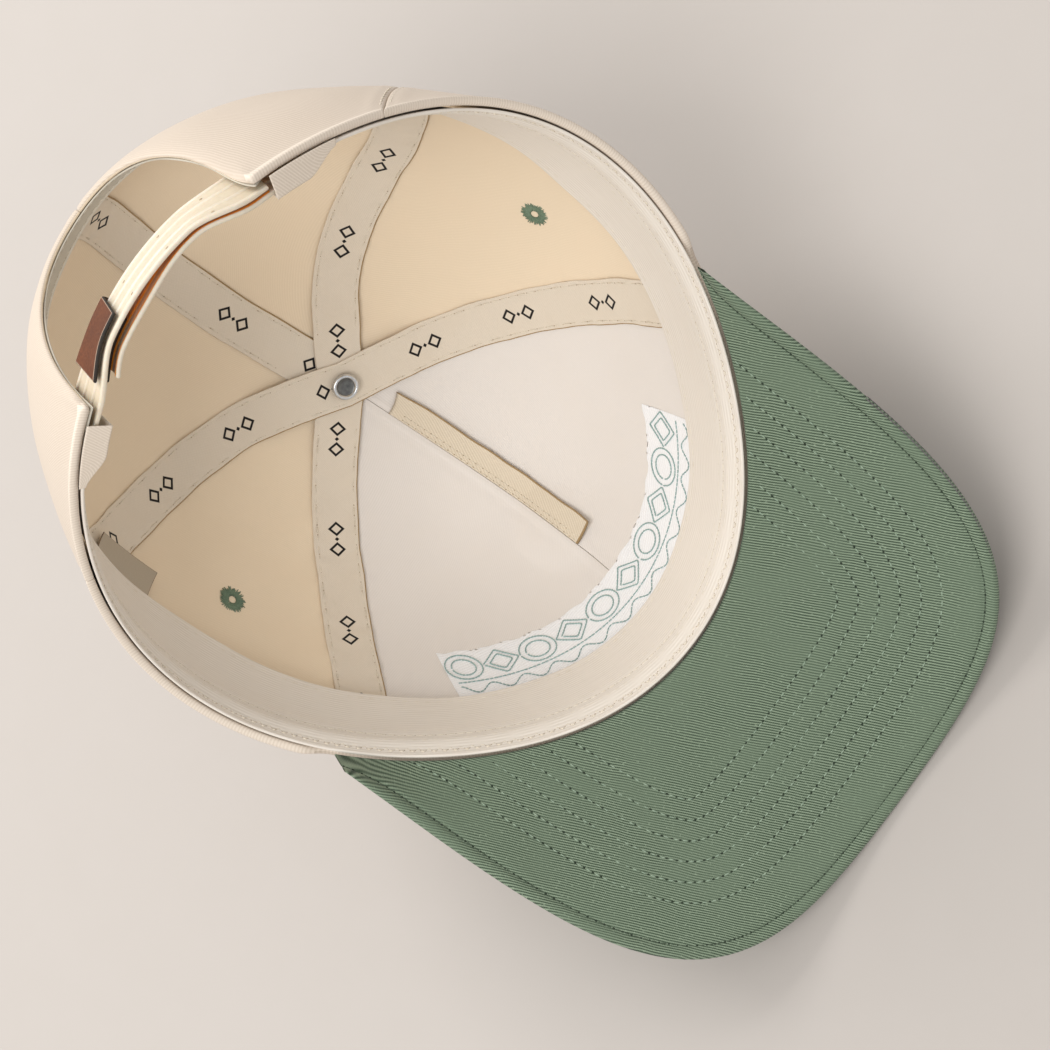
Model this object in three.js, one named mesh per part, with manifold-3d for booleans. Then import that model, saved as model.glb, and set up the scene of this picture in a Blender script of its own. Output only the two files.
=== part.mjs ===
// A six-panel twill baseball cap with a snap strap, lying on its crown and on the front of its peak.
// Sizes are in millimetres and angles in degrees. The cap is modelled as worn: +X to the peak,
// +Y to the wearer's left, +Z up. The last group turns it over into the pose in which it lies.
import * as THREE from 'three';
import { mergeVertices } from 'three/addons/utils/BufferGeometryUtils.js';
import Module from 'manifold-3d';

const wasm = await Module();
wasm.setup();

// Clearance between neighbouring pieces, and the extra depth that thin cloth needs over flat facets
const GAP = 0.35;
const FACET_ROOM = 0.6;

// Inner face of the crown
const CROWN = {
  height: 94.6,
  topForward: 2.1,
  topLeft: 4.6,
  leanForward: 2.4,
  leanLeft: 1.2,
};
// Plan of the rim: its mean radius and the waves on it, one per turn count
const RIM_RADIUS = 90.8;
const RIM_RADIUS_WAVES = [-5.6, 0.8, 0.8, 2.1];
// Height of the rim: waves from front to rear and from right to left, one per turn count
const RIM_HEIGHT_WAVES = [-0.7, -18.1, 6.3];
const RIM_SIDE_WAVES = [1.6, -0.8, 0];
// How each side of the crown rounds over to the top, and how far it bulges
const ROUNDING = { front: 0.74, rear: 0.46, side: 0.8, height: 0.895 };
const BULGE = { front: 1.6, rear: 17.2, side: -6.8 };
const SIDE_BLEND = 1.5;

// Seams: azimuth at the rim and how far the seam bows sideways half-way up
const SEAMS = {
  rightBack: { azimuth: -136.4, bow: 14.7 },
  rightFront: { azimuth: -60.3, bow: -1 },
  front: { azimuth: 1.4, bow: -1.6 },
  leftFront: { azimuth: 62.5, bow: -2 },
  leftBack: { azimuth: 126, bow: -6.5 },
  back: { azimuth: 180, bow: 0 },
};
const BACK_TAPE_SWING = 6.5;

// Cloth
const WALL = 1.8;
const HEM_EXTRA = 0.8;
const HEM_HEIGHT = 3.5;
const PANEL_TOP_RADIUS = 5;
const PANEL_ROWS = [0, 0.02, 0.05, 0.12, 0.2, 0.28, 0.36, 0.44, 0.52, 0.6, 0.68, 0.77, 0.86, 0.94, 1];
const PANEL_COLUMNS = 10;

// Rear arch
const ARCH = { radius: 106, height: 75.8, facingWidth: 8, facingThickness: 0.6, steps: 28, flareHeight: 5.5 };
const ARCH_SIDES = {
  left: { halfWidth: 36, fullness: 2, flare: 0 },
  right: { halfWidth: 33.8, fullness: 1.78, flare: 3.6 },
};

// Peak: nose is how far its middle reaches past its squared front, twist its lean to one side
const PEAK = {
  halfSpan: 70.1,
  rootReach: 84.2,
  reach: 137.9,
  nose: 10.8,
  halfWidth: 81.7,
  squareness: 4,
  rootHeight: -9.7,
  slope: -0.599,
  arch: -0.0032,
  dish: -0.0003,
  twist: -0.027,
  shoulder: 0.67,
  thickness: 3.2,
  cornerThickness: 1.6,
  columns: 40,
  rim: 4,
  cornerTurn: 70,
};
const PEAK_ROWS = [0, 0.12, 0.3, 0.5, 0.7, 0.85, 0.95];
const PEAK_EDGE = [
  { inset: 2.4, fullness: 1 },
  { inset: 0.8, fullness: 0.82 },
  { inset: 0, fullness: 0.36 },
];

// Tapes, flap and bands on the inside
const TAPE = { width: 14.4, thickness: 0.6, steps: 20, topRadius: 7, flatTop: 16, pileFull: 17, pileNone: 34 };
const TAPE_START_HEIGHT = 12;
const FLAP = { width: 8, thickness: 0.7, endRise: 0.413, startRise: 0.93, steps: 16 };
const SWEATBAND = {
  thickness: 1,
  standOff: 2.7,
  strapStandOff: 5.6,
  strapFrom: 138,
  strapFull: 150,
  end: 160.2,
  steps: 64,
};
const SWEATBAND_ROWS = [0, 3, 7, 18, 30];

// Closing strap
const STRAP = {
  height: 17.5,
  thickness: 1.15,
  bow: 7.5,
  root: 91.6,
  radius: 97.5,
  halfSpan: 33,
  dip: -2,
  baseHeight: -16.6,
  wallStart: 9,
  wallFull: 19.8,
  pitch: 2,
};
// Runs of the straps and the tab by azimuth from the rear, + to the left, in whole pitches
const STRAP_OUTER_ENDS = [-22, 28];
const STRAP_INNER_ENDS = [-28, 14];
const STRAP_PARTING = { right: 0.85, left: 2.3, from: -8, to: 4 };
const TAB = { ends: [6, 16], thickness: 0.65, slack: 0.4, hem: 3 };

// Small parts
const EYELETS = [
  { name: 'eyelet_side_right', azimuth: -86.2, rise: 0.395 },
  { name: 'eyelet_side_left', azimuth: 89.9, rise: 0.406 },
  { name: 'eyelet_back_left', azimuth: 146, rise: 0.63 },
  { name: 'eyelet_back_right', azimuth: -147, rise: 0.63 },
];
const EYELET = { hole: 1.3, barrel: 2.5, flange: 4.6, lip: 0.7, sides: 14, panelHole: 2.9 };
const BUTTON = { radius: 7.6, height: 4.4, shank: 1.6, sides: 20 };
const RIVET = { radius: 4.1, rim: 0.9, thickness: 1.3, recess: 0.5, sides: 18 };
const LABEL = { from: 108.5, to: 123.5, low: 30.6, high: 41, standOff: 1.9, thickness: 0.5 };

// Pose: forward tip of the cap from lying squarely on its crown, and its sideways roll
const LYING_TIP = 56;
const LYING_ROLL = 0;

const radians = THREE.MathUtils.degToRad;
const degrees = THREE.MathUtils.radToDeg;
const lerp = THREE.MathUtils.lerp;
const smooth = THREE.MathUtils.smoothstep;

function rimRadius(azimuth) {
  let radius = RIM_RADIUS;
  RIM_RADIUS_WAVES.forEach((size, i) => {
    radius += size * Math.cos((i + 1) * azimuth);
  });
  return radius;
}

function rimHeight(azimuth) {
  let z = 0;
  RIM_HEIGHT_WAVES.forEach((size, i) => {
    z += size * Math.cos((i + 1) * azimuth) + RIM_SIDE_WAVES[i] * Math.sin((i + 1) * azimuth);
  });
  return z;
}

// How far the crown's plan has shrunk at a rise, by the rounding of its side
function sideRounding(azimuth) {
  const c = Math.cos(azimuth);
  const front = Math.max(c, 0) ** SIDE_BLEND;
  const rear = Math.max(-c, 0) ** SIDE_BLEND;
  const side = 1 - front - rear;
  return {
    power: ROUNDING.front * front + ROUNDING.rear * rear + ROUNDING.side * side,
    bulge: BULGE.front * front + BULGE.rear * rear + BULGE.side * side,
  };
}

// Inner face of the crown at an azimuth in radians and a rise from 0 at the rim to 1 at the top
function crownPoint(azimuth, rise) {
  const t = THREE.MathUtils.clamp(rise, 0, 1);
  const { power, bulge } = sideRounding(azimuth);
  const lift = (t * Math.PI) / 2;
  const swell = Math.sin(Math.PI * t);
  const shrink = Math.max(Math.cos(lift), 1e-9) ** power;
  const radius = rimRadius(azimuth) * shrink + bulge * swell;
  const low = rimHeight(azimuth);
  return new THREE.Vector3(
    radius * Math.cos(azimuth) + CROWN.topForward * (1 - shrink) + CROWN.leanForward * swell,
    radius * Math.sin(azimuth) + CROWN.topLeft * (1 - shrink) + CROWN.leanLeft * swell,
    low + (CROWN.height - low) * Math.sin(lift) ** ROUNDING.height,
  );
}

function riseAtHeight(azimuth, height) {
  const share = Math.max(height, 0) / (CROWN.height - rimHeight(azimuth));
  return (2 / Math.PI) * Math.asin(Math.min(share ** (1 / ROUNDING.height), 1));
}

function riseAtRadius(azimuth, radius) {
  const share = radius / rimRadius(azimuth);
  return (2 / Math.PI) * Math.acos(share ** (1 / sideRounding(azimuth).power));
}

function outwardNormal(azimuth, rise) {
  const step = 0.004;
  const t = THREE.MathUtils.clamp(rise, step, 1 - step);
  const around = crownPoint(azimuth + step, t).sub(crownPoint(azimuth - step, t));
  const upward = crownPoint(azimuth, t + step).sub(crownPoint(azimuth, t - step));
  return around.cross(upward).normalize();
}

// The place on the crown's inner face that is closest to a point, from a first guess near it
function nearestPlace(target, azimuth, rise) {
  const step = 0.002;
  let phi = azimuth;
  let t = rise;
  for (let turn = 0; turn < 4; turn += 1) {
    const miss = target.clone().sub(crownPoint(phi, t));
    const around = crownPoint(phi + step, t).sub(crownPoint(phi - step, t)).divideScalar(2 * step);
    const upward = crownPoint(phi, t + step).sub(crownPoint(phi, t - step)).divideScalar(2 * step);
    const [aa, au, uu] = [around.dot(around), around.dot(upward), upward.dot(upward)];
    const [am, um] = [around.dot(miss), upward.dot(miss)];
    const scale = aa * uu - au * au;
    phi += (uu * am - au * um) / scale;
    t = THREE.MathUtils.clamp(t + (aa * um - au * am) / scale, step, 1 - 2 * step);
  }
  return { azimuth: phi, rise: t };
}

function distanceFromTop(point) {
  return Math.hypot(point.x - CROWN.topForward, point.y - CROWN.topLeft);
}

// Direction of the floor's normal and its place, in the worn frame
const tip = radians(LYING_TIP);
const roll = radians(LYING_ROLL);
const floorNormal = new THREE.Vector3(
  -Math.sin(tip) * Math.cos(roll),
  Math.sin(roll),
  -Math.cos(tip) * Math.cos(roll),
);
let floorLevel = -Infinity;

// The cloth is flat where the crown rests: nothing of it goes below its own layer over the floor
function settle(point, layer) {
  const height = point.dot(floorNormal) - floorLevel;
  if (height < layer) {
    point.addScaledVector(floorNormal, layer - height);
  }
  return point;
}

// A point of the crown's cloth, offset outwards from the inner face
function skin(azimuth, rise, offset) {
  const point = crownPoint(azimuth, rise).addScaledVector(outwardNormal(azimuth, rise), offset);
  return settle(point, WALL - offset);
}

function signedVolume(position, index) {
  const [a, b, c] = [new THREE.Vector3(), new THREE.Vector3(), new THREE.Vector3()];
  let volume = 0;
  for (let i = 0; i < index.count; i += 3) {
    a.fromBufferAttribute(position, index.getX(i));
    b.fromBufferAttribute(position, index.getX(i + 1));
    c.fromBufferAttribute(position, index.getX(i + 2));
    volume += a.dot(b.cross(c)) / 6;
  }
  return volume;
}

// Merges shared points, drops triangles that have collapsed and turns the faces outwards
function tidySolid(geometry) {
  geometry.deleteAttribute('normal');
  geometry.deleteAttribute('uv');
  const merged = mergeVertices(geometry, 1e-4);
  const kept = [];
  for (let i = 0; i < merged.index.count; i += 3) {
    const [a, b, c] = [0, 1, 2].map((k) => merged.index.getX(i + k));
    if (a !== b && b !== c && c !== a) {
      kept.push([a, b, c]);
    }
  }
  merged.setIndex(kept.flat());
  if (signedVolume(merged.attributes.position, merged.index) < 0) {
    merged.setIndex(kept.map(([a, b, c]) => [a, c, b]).flat());
  }
  merged.computeVertexNormals();
  return merged;
}

// One closed body between two matching grids of points
function shellBetween(inside, outside) {
  const rows = inside.length;
  const columns = inside[0].length;
  const index = [];
  const at = (side, r, c) => (side * rows + r) * columns + c;
  const quad = (a, b, c, d) => index.push(a, b, c, a, c, d);
  for (let r = 0; r < rows - 1; r += 1) {
    for (let c = 0; c < columns - 1; c += 1) {
      quad(at(0, r, c), at(0, r, c + 1), at(0, r + 1, c + 1), at(0, r + 1, c));
      quad(at(1, r, c), at(1, r + 1, c), at(1, r + 1, c + 1), at(1, r, c + 1));
    }
  }
  const border = [];
  for (let c = 0; c < columns; c += 1) border.push([0, c]);
  for (let r = 1; r < rows; r += 1) border.push([r, columns - 1]);
  for (let c = columns - 2; c >= 0; c -= 1) border.push([rows - 1, c]);
  for (let r = rows - 2; r > 0; r -= 1) border.push([r, 0]);
  border.forEach(([r, c], i) => {
    const [r2, c2] = border[(i + 1) % border.length];
    quad(at(0, r, c), at(1, r, c), at(1, r2, c2), at(0, r2, c2));
  });
  const geometry = new THREE.BufferGeometry().setFromPoints([...inside.flat(), ...outside.flat()]);
  geometry.setIndex(index);
  return tidySolid(geometry);
}

function steps(from, to, count) {
  return Array.from({ length: count + 1 }, (_, i) => lerp(from, to, i / count));
}

function toManifold(geometry) {
  return new wasm.Manifold(
    new wasm.Mesh({
      numProp: 3,
      vertProperties: new Float32Array(geometry.attributes.position.array),
      triVerts: new Uint32Array(geometry.index.array),
    }),
  );
}

function fromManifold(solid) {
  const mesh = solid.getMesh();
  const geometry = new THREE.BufferGeometry();
  geometry.setAttribute('position', new THREE.BufferAttribute(new Float32Array(mesh.vertProperties), 3));
  geometry.setIndex(new THREE.BufferAttribute(new Uint32Array(mesh.triVerts), 1));
  geometry.computeVertexNormals();
  return geometry;
}

function piece(name, geometry, material) {
  const mesh = new THREE.Mesh(geometry, material);
  mesh.name = name;
  return mesh;
}

function cloth(color, roughness = 0.9) {
  return new THREE.MeshStandardMaterial({ color, roughness, metalness: 0 });
}

function twillCream() {
  return cloth(0xeadfca);
}

function stiffenedTwill() {
  return cloth(0xefe6d8);
}

function twillGreen() {
  return cloth(0x6f8f75);
}

function tapeBeige() {
  return cloth(0xd8cbb2);
}

function sweatbandCream() {
  return cloth(0xe6dcc6);
}

function facingGrey() {
  return cloth(0xd6d0c4);
}

function threadGreen() {
  return cloth(0x7fa08a);
}

function strapPlastic() {
  return new THREE.MeshStandardMaterial({ color: 0xf0e4cc, roughness: 0.45, metalness: 0 });
}

function tabLeather() {
  return cloth(0x7a4a36, 0.6);
}

function rivetMetal() {
  return new THREE.MeshStandardMaterial({ color: 0xb9bcc0, roughness: 0.3, metalness: 1 });
}

function labelCloth() {
  return cloth(0xb5a68e);
}

function seamAzimuth(seam, rise) {
  return radians(seam.azimuth + seam.bow * Math.sin(Math.PI * rise));
}

// The back seam runs straight above the arch and then swings aside
function backSeamAzimuth(rise) {
  const swing = 1 - Math.sin(Math.PI * Math.max(rise, 0.5));
  return radians(SEAMS.back.azimuth - BACK_TAPE_SWING * swing);
}

// The arch's edge by a turn from 0 at the right corner to 180 at the left
function archEdge(turn) {
  const { halfWidth, fullness, flare } = turn < 90 ? ARCH_SIDES.right : ARCH_SIDES.left;
  const [c, s] = [Math.abs(Math.cos(radians(turn))), Math.sin(radians(turn))];
  const height = ARCH.height * Math.max(s, 0) ** (2 / fullness);
  const across = halfWidth * c ** (2 / fullness) + flare * Math.exp(-height / ARCH.flareHeight);
  return new THREE.Vector2(Math.sign(90 - turn) * across, height);
}

// A line beside the arch's edge, moved away from the opening
function besideArch(turn, away) {
  const ahead = archEdge(Math.min(turn + 1, 180));
  const behind = archEdge(Math.max(turn - 1, 0));
  const out = new THREE.Vector2(ahead.y - behind.y, behind.x - ahead.x).normalize();
  return archEdge(turn).addScaledVector(out, away);
}

function archPlace(across, height) {
  const azimuth = Math.PI + across / ARCH.radius;
  return { azimuth, rise: riseAtHeight(azimuth, height) };
}

// The front panels start on top of the peak, the others at the rim
function panelLowEdge(azimuth) {
  const off = Math.abs(degrees(Math.atan2(Math.sin(azimuth), Math.cos(azimuth))));
  const overPeak = 1 - smooth(off, PEAK.halfSpan + 0.5, PEAK.halfSpan + 6);
  return riseAtHeight(azimuth, overPeak * PEAK.thickness);
}

function wallOffset(azimuth, rise, low) {
  const height = crownPoint(azimuth, rise).z - crownPoint(azimuth, low).z;
  return WALL + HEM_EXTRA * (1 - smooth(height, 0, HEM_HEIGHT));
}

// One panel between two seams; places lists where each column starts
function panelGeometry(places, firstSeam, lastSeam) {
  const grids = [[], []];
  PANEL_ROWS.forEach((share) => {
    const rows = places.map(({ azimuth, rise }, column) => {
      const first = firstSeam(rise);
      const across = (azimuth - first) / (lastSeam(rise) - first);
      const t = lerp(rise, riseAtRadius(azimuth, PANEL_TOP_RADIUS), share);
      const bare = lerp(firstSeam(t), lastSeam(t), across);
      const clearance = GAP / 2 / Math.max(distanceFromTop(crownPoint(bare, t)), 1);
      const inset = column === 0 ? clearance : column === places.length - 1 ? -clearance : 0;
      const phi = bare + inset;
      return [skin(phi, t, 0), skin(phi, t, wallOffset(phi, t, rise))];
    });
    grids[0].push(rows.map((pair) => pair[0]));
    grids[1].push(rows.map((pair) => pair[1]));
  });
  return shellBetween(grids[0], grids[1]);
}

function plainPlaces(from, to) {
  return steps(seamAzimuth(from, 0), seamAzimuth(to, 0), PANEL_COLUMNS).map((azimuth) => ({
    azimuth,
    rise: panelLowEdge(azimuth),
  }));
}

function archPlaces(side) {
  const corner = archEdge(side > 0 ? 0 : 180).x / ARCH.radius;
  const seam = side > 0 ? SEAMS.rightBack.azimuth + 360 : SEAMS.leftBack.azimuth;
  const wall = steps(radians(seam), Math.PI + corner, 5).map((azimuth) => ({ azimuth, rise: 0 }));
  const edge = steps(0, 90, 6).slice(1).map((turn) => {
    const { x, y } = archEdge(side > 0 ? turn : 180 - turn);
    return archPlace(x, y);
  });
  const places = [...wall, ...edge];
  return side > 0 ? places.reverse() : places;
}

function eyeletAxis({ azimuth, rise }) {
  const phi = radians(azimuth);
  const turn = new THREE.Quaternion();
  turn.setFromUnitVectors(new THREE.Vector3(0, 1, 0), outwardNormal(phi, rise));
  return { centre: skin(phi, rise, WALL / 2), turn };
}

function withEyeletHoles(geometry, names) {
  let solid = toManifold(geometry);
  EYELETS.filter((eyelet) => names.includes(eyelet.name)).forEach((eyelet) => {
    const { centre, turn } = eyeletAxis(eyelet);
    const drill = new THREE.CylinderGeometry(EYELET.panelHole, EYELET.panelHole, 6 * WALL, EYELET.sides);
    drill.applyQuaternion(turn).translate(centre.x, centre.y, centre.z);
    solid = solid.subtract(toManifold(tidySolid(drill)));
  });
  return fromManifold(solid);
}

function buildPanels() {
  const seam = (name, turn = 0) => (rise) => seamAzimuth(SEAMS[name], rise) + turn;
  const fullTurn = 2 * Math.PI;
  const frontLeft = panelGeometry(plainPlaces(SEAMS.front, SEAMS.leftFront), seam('front'), seam('leftFront'));
  const frontRight = panelGeometry(plainPlaces(SEAMS.rightFront, SEAMS.front), seam('rightFront'), seam('front'));
  const sideLeft = panelGeometry(plainPlaces(SEAMS.leftFront, SEAMS.leftBack), seam('leftFront'), seam('leftBack'));
  const sideRight = panelGeometry(
    plainPlaces(SEAMS.rightBack, SEAMS.rightFront),
    seam('rightBack'),
    seam('rightFront'),
  );
  const backLeft = panelGeometry(archPlaces(-1), seam('leftBack'), backSeamAzimuth);
  const backRight = panelGeometry(archPlaces(1), backSeamAzimuth, seam('rightBack', fullTurn));
  return [
    piece('panel_front_left', frontLeft, stiffenedTwill()),
    piece('panel_front_right', frontRight, stiffenedTwill()),
    piece('panel_side_left', withEyeletHoles(sideLeft, ['eyelet_side_left']), twillCream()),
    piece('panel_side_right', withEyeletHoles(sideRight, ['eyelet_side_right']), twillCream()),
    piece('panel_back_left', withEyeletHoles(backLeft, ['eyelet_back_left']), twillCream()),
    piece('panel_back_right', withEyeletHoles(backRight, ['eyelet_back_right']), twillCream()),
  ];
}

// Outer outline of the peak in plan, for a turn from -90 at the right corner to 90 at the left
function peakEdge(turn) {
  const angle = radians(turn);
  const corner = radians(Math.sign(turn || 1) * PEAK.halfSpan);
  const root = crownPoint(corner, 0);
  const c = Math.cos(angle);
  const s = Math.sin(angle);
  const r = (Math.abs(c) ** PEAK.squareness + Math.abs(s) ** PEAK.squareness) ** (-1 / PEAK.squareness);
  const depth = PEAK.reach - root.x;
  const x = root.x + depth * r * c + PEAK.nose * (1 - (s * r) ** 2) * c;
  const share = THREE.MathUtils.clamp((x - root.x) / depth / PEAK.shoulder, 0, 1);
  const width = lerp(Math.abs(root.y), PEAK.halfWidth, Math.sin((Math.PI / 2) * share));
  return new THREE.Vector2(x, width * r * s);
}

function peakHeight(x, y) {
  const out = x - PEAK.rootReach;
  return PEAK.rootHeight + PEAK.slope * out + PEAK.dish * out * out + PEAK.twist * y + PEAK.arch * y * y;
}

// Underside of the peak, from 0 at the crown to 1 at its outline
function peakUnderside(turn, share) {
  const azimuth = radians((turn / 90) * PEAK.halfSpan);
  const root = crownPoint(azimuth, 0);
  const edge = peakEdge(turn);
  const x = lerp(root.x, edge.x, share);
  const y = lerp(root.y, edge.y, share);
  const fit = (root.z - peakHeight(root.x, root.y)) * (1 - share) ** 3;
  return new THREE.Vector3(x, y, peakHeight(x, y) + fit);
}

function peakNormal(x, y) {
  const out = x - PEAK.rootReach;
  const across = -PEAK.twist - 2 * PEAK.arch * y;
  return new THREE.Vector3(-PEAK.slope - 2 * PEAK.dish * out, across, 1).normalize();
}

function buildPeak() {
  const turns = steps(-1, 1, PEAK.columns).map((k) => 90 * Math.sin((k * Math.PI) / 2));
  const bodyRows = PEAK_ROWS.map((share) => ({ share, inset: 0, fullness: 1 }));
  const edgeRows = PEAK_EDGE.map((row) => ({ share: 1, ...row }));
  const under = [];
  const over = [];
  [...bodyRows, ...edgeRows].forEach(({ share, inset, fullness }) => {
    const points = turns.map((turn) => {
      const depth = Math.max(peakUnderside(turn, 1).distanceTo(peakUnderside(turn, 0)), 1e-6);
      const place = share === 1 ? Math.max(1 - inset / depth, 0) : share * Math.max(1 - PEAK.rim / depth, 0);
      const point = peakUnderside(turn, place);
      const corner = smooth(Math.abs(turn), PEAK.cornerTurn, 90);
      const thickness = lerp(PEAK.thickness, PEAK.cornerThickness, corner);
      const normal = peakNormal(point.x, point.y);
      const pinch = (1 - fullness) / 2;
      return [
        point.clone().addScaledVector(normal, thickness * pinch),
        point.clone().addScaledVector(normal, thickness * (1 - pinch)),
      ];
    });
    under.push(points.map((pair) => pair[0]));
    over.push(points.map((pair) => pair[1]));
  });
  return piece('peak', shellBetween(under, over), twillGreen());
}

// Stations of a tape that runs up one seam, over the top and down another
function seamStations(seam, swing, from) {
  const top = riseAtRadius(radians(seam.azimuth), TAPE.topRadius);
  return steps(from, top, TAPE.steps).map((rise) => {
    const azimuth = swing ? swing(rise) : seamAzimuth(seam, rise);
    const point = crownPoint(azimuth, rise);
    return { azimuth, rise, point, normal: outwardNormal(azimuth, rise), radius: distanceFromTop(point) };
  });
}

function topStation() {
  return { azimuth: 0, rise: 1, point: crownPoint(0, 1), normal: new THREE.Vector3(0, 0, 1), radius: 0 };
}

// The crown's inner face beside a station; close to the top the crown is flat
function besideStation(station, shift) {
  const base = station.point.clone().add(shift);
  if (station.radius < TAPE.flatTop) {
    return { base, normal: station.normal };
  }
  const place = nearestPlace(base, station.azimuth, station.rise);
  return { base: crownPoint(place.azimuth, place.rise), normal: outwardNormal(place.azimuth, place.rise) };
}

// A tape follows its stations a clearance inside the cloth, and lies over the tapes below it at the top
function tapeGeometry(stations, layer) {
  const grids = [[], []];
  const last = stations.length - 1;
  stations.forEach((station, i) => {
    const ahead = stations[Math.min(i + 1, last)].point;
    const behind = stations[Math.max(i - 1, 0)].point;
    const side = station.normal.clone().cross(ahead.clone().sub(behind)).normalize();
    const pile = layer * (TAPE.thickness + GAP) * (1 - smooth(station.radius, TAPE.pileFull, TAPE.pileNone));
    const depth = GAP + FACET_ROOM + pile;
    const rows = steps(-TAPE.width / 2, TAPE.width / 2, 3).map((across) => {
      const { base, normal } = besideStation(station, side.clone().multiplyScalar(across));
      return [
        base.clone().addScaledVector(normal, -depth),
        base.clone().addScaledVector(normal, -depth - TAPE.thickness),
      ];
    });
    grids[0].push(rows.map((pair) => pair[0]));
    grids[1].push(rows.map((pair) => pair[1]));
  });
  return shellBetween(grids[0], grids[1]);
}

function buildTapes() {
  const from = (seam) => riseAtHeight(seamAzimuth(seam, 0), TAPE_START_HEIGHT);
  const run = (seam) => seamStations(seam, null, from(seam));
  const across = (first, second) => [...run(first), topStation(), ...run(second).reverse()];
  const arch = archPlace(0, ARCH.height + ARCH.facingWidth + 2 * GAP);
  const tapeSwing = (rise) => radians(SEAMS.back.azimuth - BACK_TAPE_SWING * (1 - Math.sin(Math.PI * rise)));
  return [
    piece(
      'tape_right_front_to_left_back',
      tapeGeometry(across(SEAMS.rightFront, SEAMS.leftBack), 2),
      tapeBeige(),
    ),
    piece(
      'tape_right_back_to_left_front',
      tapeGeometry(across(SEAMS.rightBack, SEAMS.leftFront), 1),
      tapeBeige(),
    ),
    piece('tape_back', tapeGeometry(seamStations(SEAMS.back, tapeSwing, arch.rise), 0), tapeBeige()),
  ];
}

// A thin patch of cloth inside the crown
function patchGeometry(places, thickness) {
  const inside = places.map((row) => row.map(({ azimuth, rise, depth }) => skin(azimuth, rise, -depth)));
  const outside = places.map((row) =>
    row.map(({ azimuth, rise, depth }) => skin(azimuth, rise, -depth - thickness)),
  );
  return shellBetween(inside, outside);
}

// The front seam's spare cloth is folded to the wearer's right of the seam
function buildFrontFlap() {
  const places = steps(FLAP.endRise, FLAP.startRise, FLAP.steps).map((rise) => {
    const seam = seamAzimuth(SEAMS.front, rise);
    const radius = distanceFromTop(crownPoint(seam, rise));
    return steps(-FLAP.width, 0, 2).map((across) => ({
      azimuth: seam + across / radius,
      rise,
      depth: GAP + FACET_ROOM,
    }));
  });
  return piece('front_seam_flap', patchGeometry(places, FLAP.thickness), twillCream());
}

function buildSweatband() {
  const places = SWEATBAND_ROWS.map((height) =>
    steps(-SWEATBAND.end, SWEATBAND.end, SWEATBAND.steps).map((turn) => {
      const azimuth = radians(turn);
      const overTapes = lerp(2 * GAP, SWEATBAND.standOff, smooth(height, 0, SWEATBAND_ROWS[2]));
      const overStrap = smooth(Math.abs(turn), SWEATBAND.strapFrom, SWEATBAND.strapFull);
      return {
        azimuth,
        rise: riseAtHeight(azimuth, height),
        depth: lerp(overTapes, SWEATBAND.strapStandOff, overStrap),
      };
    }),
  );
  return piece('sweatband', patchGeometry(places, SWEATBAND.thickness), sweatbandCream());
}

function buildArchFacing() {
  const places = [0, ARCH.facingWidth].map((width) =>
    steps(0, 180, ARCH.steps).map((turn) => {
      const { x, y } = besideArch(turn, width + GAP);
      return { ...archPlace(x, y), depth: GAP + FACET_ROOM };
    }),
  );
  return piece('arch_facing', patchGeometry(places, ARCH.facingThickness), facingGrey());
}

// Middle of a strap: free in the arch, and against the cloth past the arch's corners
function strapPoint(turn, height, depth) {
  const azimuth = Math.PI - radians(turn);
  const y = STRAP.radius * Math.sin(radians(turn));
  const arc = 1 - (y / STRAP.halfSpan) ** 2;
  const free = new THREE.Vector3(
    -(STRAP.root + STRAP.bow * arc) + depth,
    y,
    STRAP.baseHeight + STRAP.dip * arc + height,
  );
  const layer = 2 * GAP + FACET_ROOM + ARCH.facingThickness + STRAP.thickness / 2 + depth;
  const wall = skin(azimuth, riseAtHeight(azimuth, height), -layer);
  return free.lerp(wall, smooth(Math.abs(turn), STRAP.wallStart, STRAP.wallFull));
}

function strapSide(turn, height, depth) {
  const step = 0.2;
  const along = strapPoint(turn + step, height, depth).sub(strapPoint(turn - step, height, depth));
  const up = strapPoint(turn, height + step, depth).sub(strapPoint(turn, height, depth));
  return along.cross(up).normalize();
}

function innerParting(turn) {
  const parting = lerp(
    STRAP_PARTING.right,
    STRAP_PARTING.left,
    smooth(turn, STRAP_PARTING.from, STRAP_PARTING.to),
  );
  return STRAP.thickness + parting;
}

function strapTurns(ends) {
  return steps(ends[0], ends[1], (ends[1] - ends[0]) / STRAP.pitch);
}

// A band along the strap's run, from one side face to the other
function strapBand(ends, heights, faces) {
  const grids = faces.map((face) =>
    heights.map((height) =>
      strapTurns(ends).map((turn) => {
        const { depth, out } = face(turn);
        return strapPoint(turn, height, depth).addScaledVector(strapSide(turn, height, depth), out);
      }),
    ),
  );
  return shellBetween(grids[0], grids[1]);
}

function buildStraps() {
  const half = STRAP.thickness / 2;
  const outerFaces = [() => ({ depth: 0, out: -half }), () => ({ depth: 0, out: half })];
  const innerFaces = outerFaces.map((face) => (turn) => ({ ...face(), depth: innerParting(turn) }));
  const heights = steps(0, STRAP.height, 2);
  return [
    piece('snap_strap_outer', strapBand(STRAP_OUTER_ENDS, heights, outerFaces), strapPlastic()),
    piece('snap_strap_inner', strapBand(STRAP_INNER_ENDS, heights, innerFaces), strapPlastic()),
  ];
}

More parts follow.
